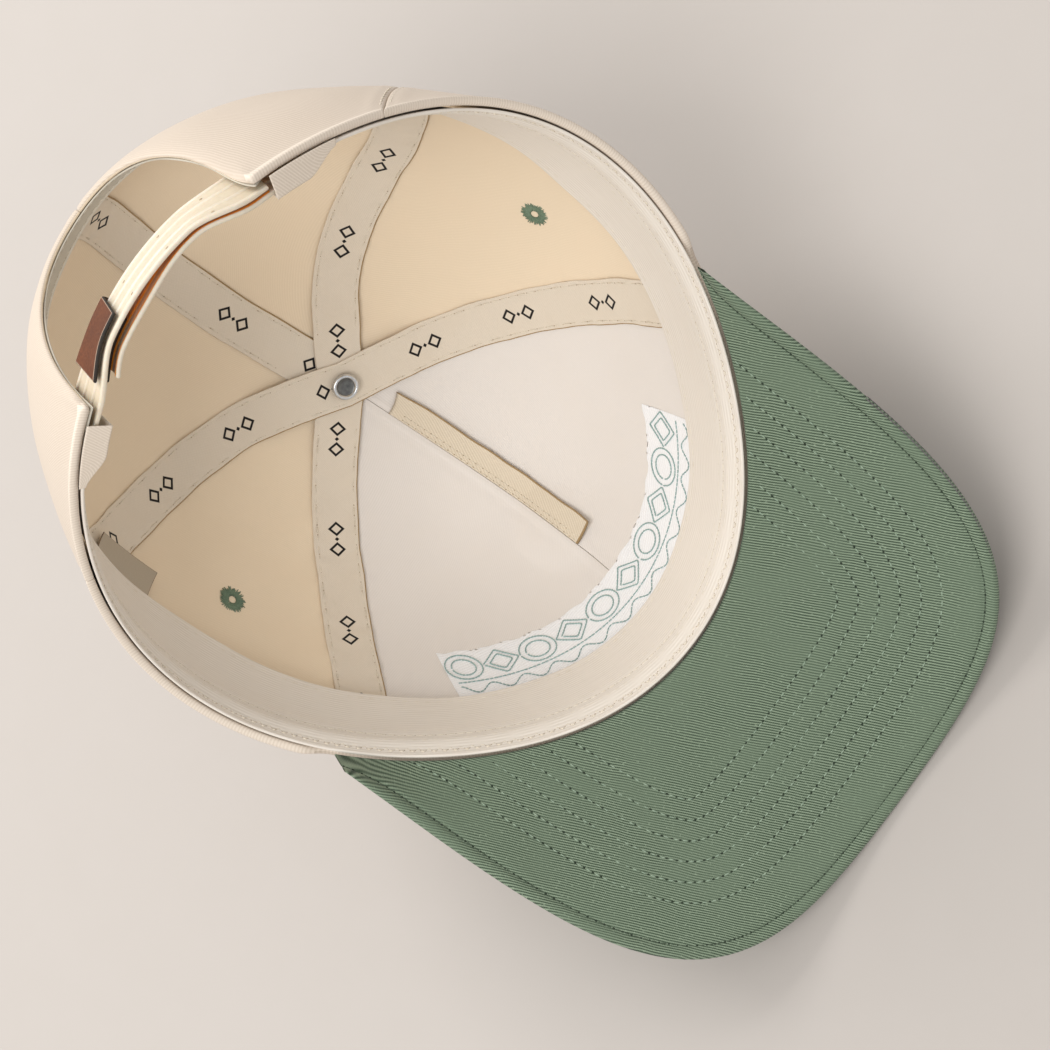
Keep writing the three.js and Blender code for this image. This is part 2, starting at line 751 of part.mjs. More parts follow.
// The tab is folded over the strap's upper edge: an outer leaf, the fold and an inner leaf
function buildStrapTab() {
  const near = STRAP.thickness / 2 + GAP + TAB.slack;
  const far = near + TAB.thickness;
  const low = TAB.hem;
  const over = STRAP.height + GAP;
  const section = [
    { out: near, height: low, face: 0 },
    { out: near, height: over, face: 0 },
    { out: -near, height: over, face: 0 },
    { out: -near, height: low, face: 0 },
    { out: -far, height: low, face: 1 },
    { out: -far, height: over + TAB.thickness, face: 1 },
    { out: far, height: over + TAB.thickness, face: 1 },
    { out: far, height: low, face: 1 },
  ];
  const place = ({ out, height }) =>
    strapTurns(TAB.ends).map((turn) =>
      strapPoint(turn, height, 0).addScaledVector(strapSide(turn, Math.min(height, STRAP.height), 0), out),
    );
  const against = section.filter((corner) => corner.face === 0).map(place);
  const away = section.filter((corner) => corner.face === 1).reverse().map(place);
  return piece('strap_tab', shellBetween(against, away), tabLeather());
}

function buildLabel() {
  const places = steps(LABEL.low, LABEL.high, 2).map((height) =>
    steps(LABEL.from, LABEL.to, 4).map((turn) => {
      const azimuth = radians(turn);
      return { azimuth, rise: riseAtHeight(azimuth, height), depth: LABEL.standOff };
    }),
  );
  return piece('care_label', patchGeometry(places, LABEL.thickness), labelCloth());
}

// A ring sewn through the cloth, with a lip on each face
function buildEyelet(eyelet) {
  const seat = WALL / 2 + GAP + FACET_ROOM;
  const top = seat + EYELET.lip;
  const soft = EYELET.lip / 2;
  const profile = [
    [EYELET.hole, -top],
    [EYELET.flange - soft, -top],
    [EYELET.flange, -seat - soft / 2],
    [EYELET.flange, -seat],
    [EYELET.barrel, -seat],
    [EYELET.barrel, seat],
    [EYELET.flange, seat],
    [EYELET.flange, seat + soft / 2],
    [EYELET.flange - soft, top],
    [EYELET.hole, top],
    [EYELET.hole, -top],
  ].map(([r, z]) => new THREE.Vector2(r, z));
  const { centre, turn } = eyeletAxis(eyelet);
  const mesh = piece(eyelet.name, tidySolid(new THREE.LatheGeometry(profile, EYELET.sides)), threadGreen());
  mesh.position.copy(centre);
  mesh.quaternion.copy(turn);
  return mesh;
}

// Lathe pieces stand on the worn frame's Z axis
function uprightLathe(name, profile, sides, material, height) {
  const points = profile.map(([r, z]) => new THREE.Vector2(r, z));
  const mesh = piece(name, tidySolid(new THREE.LatheGeometry(points, sides)), material);
  mesh.rotation.x = Math.PI / 2;
  mesh.position.set(CROWN.topForward, CROWN.topLeft, height);
  return mesh;
}

function buildButton() {
  const profile = [
    [0, -WALL],
    [BUTTON.shank, -WALL],
    [BUTTON.shank, GAP],
    [BUTTON.radius * 0.94, GAP],
    [BUTTON.radius, GAP + BUTTON.height * 0.25],
    [BUTTON.radius * 0.93, GAP + BUTTON.height * 0.58],
    [BUTTON.radius * 0.62, GAP + BUTTON.height * 0.88],
    [BUTTON.radius * 0.3, GAP + BUTTON.height * 0.98],
    [0, GAP + BUTTON.height],
  ];
  return uprightLathe('top_button', profile, BUTTON.sides, twillGreen(), CROWN.height + WALL);
}

function buildRivet() {
  const deep = RIVET.thickness;
  const profile = [
    [0, -deep + RIVET.recess],
    [RIVET.radius - RIVET.rim - 0.3, -deep + RIVET.recess],
    [RIVET.radius - RIVET.rim, -deep],
    [RIVET.radius - 0.25, -deep],
    [RIVET.radius, -deep + 0.3],
    [RIVET.radius, 0],
    [0, 0],
  ];
  const tapes = 3 * (TAPE.thickness + GAP) + FACET_ROOM;
  return uprightLathe('button_rivet', profile, RIVET.sides, rivetMetal(), CROWN.height - tapes - GAP);
}

function lowestAlong(mesh, direction) {
  const position = mesh.geometry.attributes.position;
  const point = new THREE.Vector3();
  let lowest = Infinity;
  for (let i = 0; i < position.count; i += 1) {
    lowest = Math.min(lowest, point.fromBufferAttribute(position, i).dot(direction));
  }
  return lowest;
}

function buildCap() {
  const peak = buildPeak();
  floorLevel = lowestAlong(peak, floorNormal);
  const worn = new THREE.Group();
  worn.add(
    ...buildPanels(),
    peak,
    buildSweatband(),
    ...buildTapes(),
    buildFrontFlap(),
    buildArchFacing(),
    ...buildStraps(),
    buildStrapTab(),
    buildLabel(),
    buildButton(),
    buildRivet(),
    ...EYELETS.map(buildEyelet),
  );
  return worn;
}

// Turns the cap over so that the floor's normal points up and the peak points to +X
function layDown(worn) {
  const forward = new THREE.Vector3(Math.cos(tip), 0, -Math.sin(tip));
  const left = floorNormal.clone().cross(forward);
  const turn = new THREE.Matrix4().makeBasis(forward, left, floorNormal).transpose();
  worn.quaternion.setFromRotationMatrix(turn);
  const lying = new THREE.Group();
  lying.add(worn);
  lying.updateMatrixWorld(true);
  const box = new THREE.Box3().setFromObject(lying, true);
  worn.position.set(-(box.min.x + box.max.x) / 2, -(box.min.y + box.max.y) / 2, -box.min.z);
  return lying;
}

export default layDown(buildCap());
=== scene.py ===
"""A panelled twill baseball cap with a snap strap, lying on its crown: the dressed model.

Shapes are worked out as the cap is worn, in millimetres: +X to the peak, +Y to the wearer's left and
+Z up. lie() turns points over into the row frame, where the cap lies, still in millimetres.
"""

import logging
import math
from dataclasses import dataclass, field
from enum import Enum
from typing import Callable, Optional, Sequence

import bmesh
import bpy
import numpy as np
from mathutils import Matrix, Vector


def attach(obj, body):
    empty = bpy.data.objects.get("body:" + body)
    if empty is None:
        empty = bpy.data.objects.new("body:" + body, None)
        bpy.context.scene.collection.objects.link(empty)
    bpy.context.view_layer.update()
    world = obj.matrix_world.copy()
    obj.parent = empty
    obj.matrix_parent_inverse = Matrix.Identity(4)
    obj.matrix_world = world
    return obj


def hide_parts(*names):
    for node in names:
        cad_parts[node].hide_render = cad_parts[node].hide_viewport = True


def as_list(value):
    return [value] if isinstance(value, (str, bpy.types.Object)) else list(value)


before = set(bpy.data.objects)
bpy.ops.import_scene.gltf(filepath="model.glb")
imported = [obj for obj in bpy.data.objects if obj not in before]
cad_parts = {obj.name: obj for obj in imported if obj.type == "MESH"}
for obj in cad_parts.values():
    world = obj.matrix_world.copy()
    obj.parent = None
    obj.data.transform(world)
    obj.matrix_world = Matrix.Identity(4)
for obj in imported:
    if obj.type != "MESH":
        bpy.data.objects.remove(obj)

Array = np.ndarray
Color = tuple[float, float, float]
Cloth = Callable[[Array, Array], Array]
Surface = Callable[[Array, Array, int], Array]
Middle = Callable[[Array, Array], tuple[Array, Array, Array]]

LOG = logging.getLogger("cap")
MM = 0.001
CLOTH_MAP = "cloth"
WALL = 1.8


def smooth(x: Array, low: float, high: float) -> Array:
    """A soft step from 0 at low to 1 at high."""
    t = np.clip((np.asarray(x, float) - low) / (high - low), 0.0, 1.0)
    return t * t * (3.0 - 2.0 * t)


def mix(a: Array, b: Array, share: Array) -> Array:
    """a where share is 0, b where it is 1."""
    return a + (b - a) * share


def quarter_round(distance: Array, radius: float) -> Array:
    """Fullness of a rounded edge, 0 on the edge and 1 from radius inwards."""
    return np.sqrt(np.clip(1.0 - (1.0 - np.clip(distance / radius, 0.0, 1.0)) ** 2, 0.0, 1.0))


def unit(vectors: Array) -> Array:
    """Vectors of length 1 along the last axis."""
    return vectors / np.maximum(np.linalg.norm(vectors, axis=-1, keepdims=True), 1e-12)


def ripple(u: Array, v: Array, wavelength: float, seed: int, waves: int = 5) -> Array:
    """Gentle seeded undulation of about -1 to 1 over millimetre coordinates.

    Args:
        u: First coordinate.
        v: Second coordinate.
        wavelength: Typical length of a wave.
        seed: Picks the directions and phases.
        waves: How many waves are summed.

    Returns:
        The undulation at each place.
    """
    draw = np.random.default_rng(seed)
    total = np.zeros(np.broadcast(u, v).shape)
    for _ in range(waves):
        angle = draw.uniform(0.0, math.tau)
        size = math.tau / (wavelength * draw.uniform(0.7, 1.5))
        along = u * math.cos(angle) + v * math.sin(angle)
        total = total + np.sin(size * along + draw.uniform(0.0, math.tau))
    return total / math.sqrt(waves) / 1.4


@dataclass(frozen=True)
class Crown:
    """Inner face of the crown as worn, over azimuth and rise (0 at the rim, 1 at the top)."""

    height: float = 94.6
    top_forward: float = 2.1
    top_left: float = 4.6
    lean_forward: float = 2.4
    lean_left: float = 1.2
    radius: float = 90.8
    radius_waves: tuple[float, ...] = (-5.6, 0.8, 0.8, 2.1)
    height_waves: tuple[float, ...] = (-0.7, -18.1, 6.3)
    side_waves: tuple[float, ...] = (1.6, -0.8, 0.0)
    round_front: float = 0.74
    round_rear: float = 0.46
    round_side: float = 0.8
    round_height: float = 0.895
    bulge_front: float = 1.6
    bulge_rear: float = 17.2
    bulge_side: float = -6.8
    side_blend: float = 1.5

    def rim_radius(self, azimuth: Array) -> Array:
        """Radius of the rim's plan."""
        return self.radius + sum(size * np.cos((i + 1) * azimuth) for i, size in enumerate(self.radius_waves))

    def rim_height(self, azimuth: Array) -> Array:
        """Height of the rim."""
        front = sum(size * np.cos((i + 1) * azimuth) for i, size in enumerate(self.height_waves))
        return front + sum(size * np.sin((i + 1) * azimuth) for i, size in enumerate(self.side_waves))

    def side(self, azimuth: Array) -> tuple[Array, Array]:
        """Rounding power and bulge of the side at an azimuth.

        Args:
            azimuth: Azimuths in radians.

        Returns:
            The power and the bulge in millimetres.
        """
        c = np.cos(azimuth)
        front = np.maximum(c, 0.0) ** self.side_blend
        rear = np.maximum(-c, 0.0) ** self.side_blend
        rest = 1.0 - front - rear
        power = self.round_front * front + self.round_rear * rear + self.round_side * rest
        bulge = self.bulge_front * front + self.bulge_rear * rear + self.bulge_side * rest
        return power, bulge

    def point(self, azimuth: Array, rise: Array) -> Array:
        """Points of the inner face, in worn millimetres.

        Args:
            azimuth: Azimuths in radians.
            rise: Rises.

        Returns:
            One point for each place.
        """
        t = np.clip(rise, 0.0, 1.0)
        power, bulge = self.side(azimuth)
        swell = np.sin(math.pi * t)
        shrink = np.maximum(np.cos(t * math.pi / 2), 1e-9) ** power
        radius = self.rim_radius(azimuth) * shrink + bulge * swell
        low = self.rim_height(azimuth)
        return np.stack(
            [
                radius * np.cos(azimuth) + self.top_forward * (1 - shrink) + self.lean_forward * swell,
                radius * np.sin(azimuth) + self.top_left * (1 - shrink) + self.lean_left * swell,
                low + (self.height - low) * np.sin(t * math.pi / 2) ** self.round_height,
            ],
            axis=-1,
        )

    def normal(self, azimuth: Array, rise: Array) -> Array:
        """Outward normals of the inner face.

        Args:
            azimuth: Azimuths in radians.
            rise: Rises.

        Returns:
            One normal for each place.
        """
        step = 0.004
        t = np.clip(rise, step, 1 - step)
        around = self.point(azimuth + step, t) - self.point(azimuth - step, t)
        upward = self.point(azimuth, t + step) - self.point(azimuth, t - step)
        return unit(np.cross(around, upward))

    def rise_at_height(self, azimuth: Array, height: Array) -> Array:
        """Rise of the place a height above the rim."""
        share = np.maximum(height, 0.0) / (self.height - self.rim_height(azimuth))
        return 2 / math.pi * np.arcsin(np.minimum(share ** (1 / self.round_height), 1.0))

    def rise_at_radius(self, azimuth: Array, radius: float) -> Array:
        """Rise of the place at a radius from the top."""
        share = radius / self.rim_radius(azimuth)
        return 2 / math.pi * np.arccos(share ** (1 / self.side(azimuth)[0]))

    def from_top(self, points: Array) -> Array:
        """Plan distance of points from the top."""
        return np.hypot(points[..., 0] - self.top_forward, points[..., 1] - self.top_left)

    def nearest(self, target: Array, azimuth: Array, rise: Array) -> tuple[Array, Array]:
        """Azimuth and rise of the closest places of the inner face, from first guesses near them.

        Args:
            target: Points near the face.
            azimuth: First guesses of the azimuth.
            rise: First guesses of the rise.

        Returns:
            The azimuths and the rises.
        """
        step = 0.002
        phi, t = np.array(azimuth, float), np.array(rise, float)
        for _ in range(4):
            miss = target - self.point(phi, t)
            around = (self.point(phi + step, t) - self.point(phi - step, t)) / (2 * step)
            upward = (self.point(phi, t + step) - self.point(phi, t - step)) / (2 * step)
            pairs = ((around, around), (around, upward), (upward, upward), (around, miss), (upward, miss))
            aa, au, uu, am, um = (np.sum(p * q, -1) for p, q in pairs)
            scale = aa * uu - au * au
            phi = phi + (uu * am - au * um) / scale
            t = np.clip(t + (aa * um - au * am) / scale, step, 1 - 2 * step)
        return phi, t


@dataclass(frozen=True)
class Pose:
    """How the worn cap is turned over and set down."""

    tip: float = math.radians(56.0)
    rivet_bottom: float = 94.6 - (3 * 0.95 + 0.6) - 0.35 - 1.3
    rivet_centre: tuple[float, float] = (2.1, 4.6)

    def axes(self) -> Array:
        """Row axes in the worn frame: forward, to the wearer's right, and up from the floor."""
        c, s = math.cos(self.tip), math.sin(self.tip)
        return np.array([[c, 0.0, -s], [0.0, -1.0, 0.0], [-s, 0.0, -c]])

    def shift(self) -> Array:
        """Where the worn origin lies in the row frame, in millimetres, found from the rivet's node.

        Returns:
            The shift.
        """
        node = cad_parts["button_rivet"]
        found = {tuple(round(x / MM, 3) for x in vertex.co) for vertex in node.data.vertices}
        corners = np.array(sorted(found))
        up = self.axes() @ np.array([0.0, 0.0, 1.0])
        height = corners @ up
        middle = corners.mean(axis=0)
        middle = middle + (height.min() - middle @ up) * up
        worn = np.array([*self.rivet_centre, self.rivet_bottom])
        return middle - self.axes() @ worn


CROWN = Crown()
POSE = Pose()
AXES = POSE.axes()
SHIFT = POSE.shift()


def lie(points: Array) -> Array:
    """Worn millimetres to row millimetres."""
    return points @ AXES.T + SHIFT


def turn(directions: Array) -> Array:
    """Worn directions to row directions."""
    return directions @ AXES.T


def skin(azimuth: Array, rise: Array, offset: Array) -> Array:
    """Points of the crown's cloth in row millimetres, flat where it rests on the floor.

    Args:
        azimuth: Azimuths in radians.
        rise: Rises.
        offset: Distance outwards from the inner face.

    Returns:
        One point for each place.
    """
    offset = np.asarray(offset, float)
    points = lie(CROWN.point(azimuth, rise) + CROWN.normal(azimuth, rise) * offset[..., None])
    points[..., 2] = np.maximum(points[..., 2], np.maximum(WALL - offset, 0.02))
    return points


class Face(Enum):
    """The two faces of a piece of cloth."""

    INSIDE = 0
    OUTSIDE = 1


@dataclass
class Shell:
    """A closed piece between two faces that are each laid out from a flat grid.

    Attributes:
        name: Name of the object.
        u: Grid positions across the piece.
        v: Grid positions along the piece.
        face: Row millimetres from the grid's u and v and the side: -1 inside, 1 outside.
        cloth: Millimetre coordinates of the cloth, from the grid's u and v.
    """

    name: str
    u: Array
    v: Array
    face: Surface
    cloth: Cloth

    def build(
        self, materials: Sequence[bpy.types.Material], slot: str, stands_for: Sequence[str] = ()
    ) -> bpy.types.Object:
        """Makes the mesh and turns it into a piece that rides on the cap.

        Args:
            materials: One material, or one for the inside and one for the outside.
            slot: The record's material slot.
            stands_for: The CAD nodes that it stands for.

        Returns:
            The finished object.
        """
        mesh_builder = bmesh.new()
        layer = mesh_builder.loops.layers.uv.new(CLOTH_MAP)
        across, along = len(self.u) - 1, len(self.v) - 1
        grid = np.meshgrid(self.u, self.v, indexing="ij")
        for face, side in ((Face.INSIDE, -1), (Face.OUTSIDE, 1)):
            made = bmesh.ops.create_grid(mesh_builder, x_segments=across, y_segments=along, size=0.5)["verts"]
            flat = np.array([vertex.co[:2] for vertex in made])
            i = np.rint((flat[:, 0] + 0.5) * across).astype(int)
            j = np.rint((flat[:, 1] + 0.5) * along).astype(int)
            points = (self.face(*grid, side) * MM)[i, j]
            maps = self.cloth(*grid)[i, j]
            for vertex, point in zip(made, points):
                vertex.co = point
            spot = {vertex: tuple(uv) for vertex, uv in zip(made, maps)}
            own = {f for vertex in made for f in vertex.link_faces}
            for polygon in own:
                polygon.material_index = face.value if len(materials) > 1 else 0
                polygon.smooth = True
                for loop in polygon.loops:
                    loop[layer].uv = spot[loop.vert]
            if face is Face.OUTSIDE:
                bmesh.ops.reverse_faces(mesh_builder, faces=list(own))
        bmesh.ops.remove_doubles(mesh_builder, verts=mesh_builder.verts[:], dist=2e-6)
        bmesh.ops.recalc_face_normals(mesh_builder, faces=mesh_builder.faces[:])
        return finish_piece(self.name, mesh_builder, materials, slot, stands_for)


@dataclass(frozen=True)
class LaidSheet:
    """A thin sheet that lies inside the crown, laid out from a flat rectangle.

    Attributes:
        name: Name of the piece.
        size: Its flat sizes along u and v, in millimetres.
        middle: Azimuth, rise and depth of its middle, from the grid's u and v.
        half: Half its thickness, in millimetres.
        rounds: Radius of its rounded edges along u and v.
        cloth_scale: Stretch of the cloth coordinates along u.
        sunk: How far its inner face sinks along sewn rows, from v.
    """

    name: str
    size: tuple[float, float]
    middle: Middle
    half: float
    rounds: tuple[float, float]
    cloth_scale: float = 1.0
    sunk: Optional[Callable[[Array], Array]] = None

    def face(self, u: Array, v: Array, sign: int) -> Array:
        """Places of one face.

        Args:
            u: Grid positions across it.
            v: Grid positions along it.
            sign: -1 for the face on the crown, 1 for the one that shows.

        Returns:
            Points in row millimetres.
        """
        azimuth, rise, depth = self.middle(u, v)
        border = [np.minimum(share, 1 - share) * size for share, size in zip((u, v), self.size)]
        fullness = np.minimum(*(quarter_round(away, radius) for away, radius in zip(border, self.rounds)))
        sunk = self.sunk(v) if self.sunk and sign > 0 else 0.0
        return skin(azimuth, rise, -(depth + self.half * fullness * sign - sunk))

    def build(
        self, u: Array, v: Array, material: bpy.types.Material, slot: str, stands_for: Sequence[str]
    ) -> bpy.types.Object:
        """Builds the sheet.

        Args:
            u: Grid positions across it.
            v: Grid positions along it.
            material: Its material.
            slot: The record's material slot.
            stands_for: The CAD nodes that it stands for.

        Returns:
            The finished piece.
        """
        cloth = flat_cloth(self.size[0] * self.cloth_scale, self.size[1])
        return Shell(self.name, u, v, self.face, cloth).build([material], slot, stands_for)


def flat_cloth(width: float, length: float) -> Cloth:
    """Cloth coordinates of a flat rectangle, in millimetres."""
    return lambda u, v: np.stack([u * width, v * length], -1)


def finish_piece(
    name: str,
    mesh_builder: bmesh.types.BMesh,
    materials: Sequence[bpy.types.Material],
    slot: str,
    stands_for: Sequence[str] = (),
) -> bpy.types.Object:
    """Turns a bmesh into an object that rides on the cap.

    Args:
        name: Name of the object.
        mesh_builder: The bmesh, which is freed.
        materials: The materials in their slots' order.
        slot: The record's material slot; not used.
        stands_for: The CAD nodes that it stands for.

    Returns:
        The object.
    """
    mesh = bpy.data.meshes.new(name)
    mesh_builder.to_mesh(mesh)
    mesh_builder.free()
    for material in materials:
        mesh.materials.append(material)
    piece = bpy.data.objects.new(name, mesh)
    bpy.context.scene.collection.objects.link(piece)
    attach(piece, "root")
    if stands_for:
        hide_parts(*stands_for)
    mesh.calc_loop_triangles()
    LOG.info("%s: %d triangles", name, len(mesh.loop_triangles))
    return piece


def run_length(points: Array) -> Array:
    """Distance along a polyline at each of its points."""
    return np.concatenate([[0.0], np.cumsum(np.linalg.norm(np.diff(points, axis=0), axis=1))])


def border_distance(points: Array, border: Array) -> Array:
    """Distance of each point from a polyline.

    Args:
        points: Points of shape (..., 3).
        border: The polyline's points, of shape (n, 3).

    Returns:
        The distances.
    """
    start, way = border[:-1], np.diff(border, axis=0)
    length = np.maximum(np.sum(way * way, -1), 1e-12)
    flat = points.reshape(-1, 3)
    best = np.full(len(flat), np.inf)
    for s, w, n in zip(start, way, length):
        share = np.clip((flat - s) @ w / n, 0.0, 1.0)
        gap = flat - s - share[:, None] * w
        best = np.minimum(best, np.einsum("ij,ij->i", gap, gap))
    return np.sqrt(best).reshape(points.shape[:-1])


def edged(length: float, radius: float, count: int) -> Array:
    """Grid positions from 0 to 1, close together where a piece rounds at both ends.

    Args:
        length: Length of the piece.
        radius: Radius of its rounded ends.
        count: Steps between them.

    Returns:
        The positions.
    """
    near = np.array([0.0, 0.04, 0.15, 0.35, 0.65, 1.0]) * radius
    inner = np.linspace(radius, length - radius, count + 1)[1:-1]
    return np.concatenate([near, inner, length - near[::-1]]) / length


class Shade:
    """A node tree with short calls that add and join nodes."""

    def __init__(self, tree: bpy.types.NodeTree) -> None:
        """Works on the given tree."""
        self.tree = tree

    def add(self, kind: str, inputs: Optional[dict] = None, **settings: object) -> bpy.types.Node:
        """Adds a node.

        Args:
            kind: The node's type name.
            inputs: Values, or sockets to join, by input name or number.
            **settings: Properties of the node.

        Returns:
            The node.
        """
        node = self.tree.nodes.new(kind)
        for key, value in settings.items():
            setattr(node, key, value)
        for key, value in (inputs or {}).items():
            if isinstance(value, bpy.types.NodeSocket):
                self.tree.links.new(value, node.inputs[key])
            else:
                node.inputs[key].default_value = (*value, 1.0) if isinstance(value, tuple) else value
        return node

    def math(self, operation: str, *values: object) -> bpy.types.NodeSocket:
        """A Math node's result.

        Args:
            operation: Name of the operation.
            *values: Numbers, or sockets to join.

        Returns:
            Its output.
        """
        node = self.add("ShaderNodeMath", dict(enumerate(values)), operation=operation)
        return node.outputs[0]

    def blend(self, share: object, a: object, b: object) -> bpy.types.NodeSocket:
        """A colour between a and b."""
        return self.add("ShaderNodeMix", {0: share, 6: a, 7: b}, data_type="RGBA").outputs[2]


def new_group(
    name: str, inputs: dict[str, str], outputs: dict[str, str]
) -> tuple[Shade, bpy.types.Node, bpy.types.Node]:
    """Makes an empty shader node group.

    Args:
        name: Name of the group.
        inputs: Socket type by input name.
        outputs: Socket type by output name.

    Returns:
        The tree's helper, its input node and its output node.
    """
    tree = bpy.data.node_groups.new(name, "ShaderNodeTree")
    for way, sockets in (("INPUT", inputs), ("OUTPUT", outputs)):
        for label, kind in sockets.items():
            tree.interface.new_socket(label, in_out=way, socket_type=kind)
    shade = Shade(tree)
    return shade, shade.add("NodeGroupInput"), shade.add("NodeGroupOutput")


def twill_group() -> bpy.types.NodeTree:
    """Diagonal ribs with their yarns, from cloth coordinates in millimetres.

    Returns:
        The group.
    """
    number = "NodeSocketFloat"
    shade, given, out = new_group(
        "twill_ribs",
        {"Cloth": "NodeSocketVector", "Pitch": number, "Angle": number},
        {"Height": number, "Worn": number},
    )
    drift = shade.add("ShaderNodeTexNoise", {"Vector": given.outputs["Cloth"], "Scale": 0.09, "Detail": 1.0})
    turned = shade.add(
        "ShaderNodeVectorRotate",
        {"Vector": given.outputs["Cloth"], "Angle": given.outputs["Angle"]},
        rotation_type="Z_AXIS",
    )
    split = shade.add("ShaderNodeSeparateXYZ", {0: turned.outputs[0]})
    across = shade.math("ADD", split.outputs["Y"], shade.math("MULTIPLY", drift.outputs[0], 1.0))
    phase = shade.math("DIVIDE", across, given.outputs["Pitch"])
    rib = shade.math("SINE", shade.math("MULTIPLY", phase, math.tau))
    along = shade.math("DIVIDE", split.outputs["X"], given.outputs["Pitch"])
    twist = shade.math("ADD", along, shade.math("MULTIPLY", phase, 0.5))
    yarn = shade.math("SINE", shade.math("MULTIPLY", twist, 8.2))
    fuzz = shade.add("ShaderNodeTexNoise", {"Vector": given.outputs["Cloth"], "Scale": 2.4, "Detail": 3.0})
    height = shade.math("MULTIPLY_ADD", rib, 0.42, 0.45)
    height = shade.math("MULTIPLY_ADD", yarn, 0.09, height)
    height = shade.math("ADD", height, shade.math("MULTIPLY_ADD", fuzz.outputs[0], 0.3, -0.15))
    # Bright specks lift the height, which lightens the colour and raises the bump there: painted highlights
    # on the yarns.
    yarn_glint_noise = shade.add("ShaderNodeTexNoise", {"Vector": given.outputs["Cloth"], "Scale": 1.3, "Detail": 1.0})
    bright = shade.add("ShaderNodeMapRange", {0: yarn_glint_noise.outputs[0], 1: 0.62, 2: 0.78, 3: 0.0, 4: 0.55})
    height = shade.math("ADD", height, bright.outputs[0])
    patch = shade.add("ShaderNodeTexNoise", {"Vector": given.outputs["Cloth"], "Scale": 0.05, "Detail": 4.0})
    shade.tree.links.new(height, out.inputs["Height"])
    shade.tree.links.new(patch.outputs[0], out.inputs["Worn"])
    return shade.tree


def plain_group() -> bpy.types.NodeTree:
    """A plain over-and-under weave, from cloth coordinates in millimetres.

    Returns:
        The group.
    """
    number = "NodeSocketFloat"
    shade, given, out = new_group(
        "plain_weave", {"Cloth": "NodeSocketVector", "Pitch": number}, {"Height": number, "Worn": number}
    )
    split = shade.add("ShaderNodeSeparateXYZ", {0: given.outputs["Cloth"]})
    waves = []
    for axis in ("X", "Y"):
        phase = shade.math("DIVIDE", split.outputs[axis], given.outputs["Pitch"])
        waves.append(shade.math("SINE", shade.math("MULTIPLY", phase, math.tau)))
    fuzz = shade.add("ShaderNodeTexNoise", {"Vector": given.outputs["Cloth"], "Scale": 1.6, "Detail": 4.0})
    height = shade.math("MULTIPLY_ADD", shade.math("MULTIPLY", *waves), 0.28, 0.5)
    height = shade.math("ADD", height, shade.math("MULTIPLY_ADD", fuzz.outputs[0], 0.5, -0.25))
    patch = shade.add("ShaderNodeTexNoise", {"Vector": given.outputs["Cloth"], "Scale": 0.06, "Detail": 4.0})
    shade.tree.links.new(height, out.inputs["Height"])
    shade.tree.links.new(patch.outputs[0], out.inputs["Worn"])
    return shade.tree


def grain_group() -> bpy.types.NodeTree:
    """A fine grain over a broad mottle, from Object coordinates and grain cells per metre.

    Returns:
        The group.
    """
    number = "NodeSocketFloat"
    shade, given, out = new_group(
        "fine_grain",
        {"Place": "NodeSocketVector", "Scale": number},
        {"Share": number, "Broad": number, "Height": number},
    )
    place, scale = given.outputs["Place"], given.outputs["Scale"]
    wide = shade.math("DIVIDE", scale, 12.0)
    fine = shade.add("ShaderNodeTexNoise", {"Vector": place, "Scale": scale, "Detail": 4.0})
    broad = shade.add("ShaderNodeTexNoise", {"Vector": place, "Scale": wide, "Detail": 2.0})
    share = shade.math("MULTIPLY_ADD", fine.outputs[0], 0.7, shade.math("MULTIPLY", broad.outputs[0], 0.3))
    spread = shade.add("ShaderNodeMapRange", {0: share, 1: 0.3, 2: 0.7})
    for label, node in (("Share", spread), ("Broad", broad), ("Height", fine)):
        shade.tree.links.new(node.outputs[0], out.inputs[label])
    return shade.tree


TWILL = twill_group()
PLAIN = plain_group()
GRAIN = grain_group()


def new_material(name: str) -> tuple[bpy.types.Material, Shade, bpy.types.Node]:
    """An empty material with its Principled shader.

    Args:
        name: Name of the material.

    Returns:
        The material, its tree's helper and the shader node.
    """
    material = bpy.data.materials.new(name)
    material.use_nodes = True
    shade = Shade(material.node_tree)
    return material, shade, material.node_tree.nodes["Principled BSDF"]


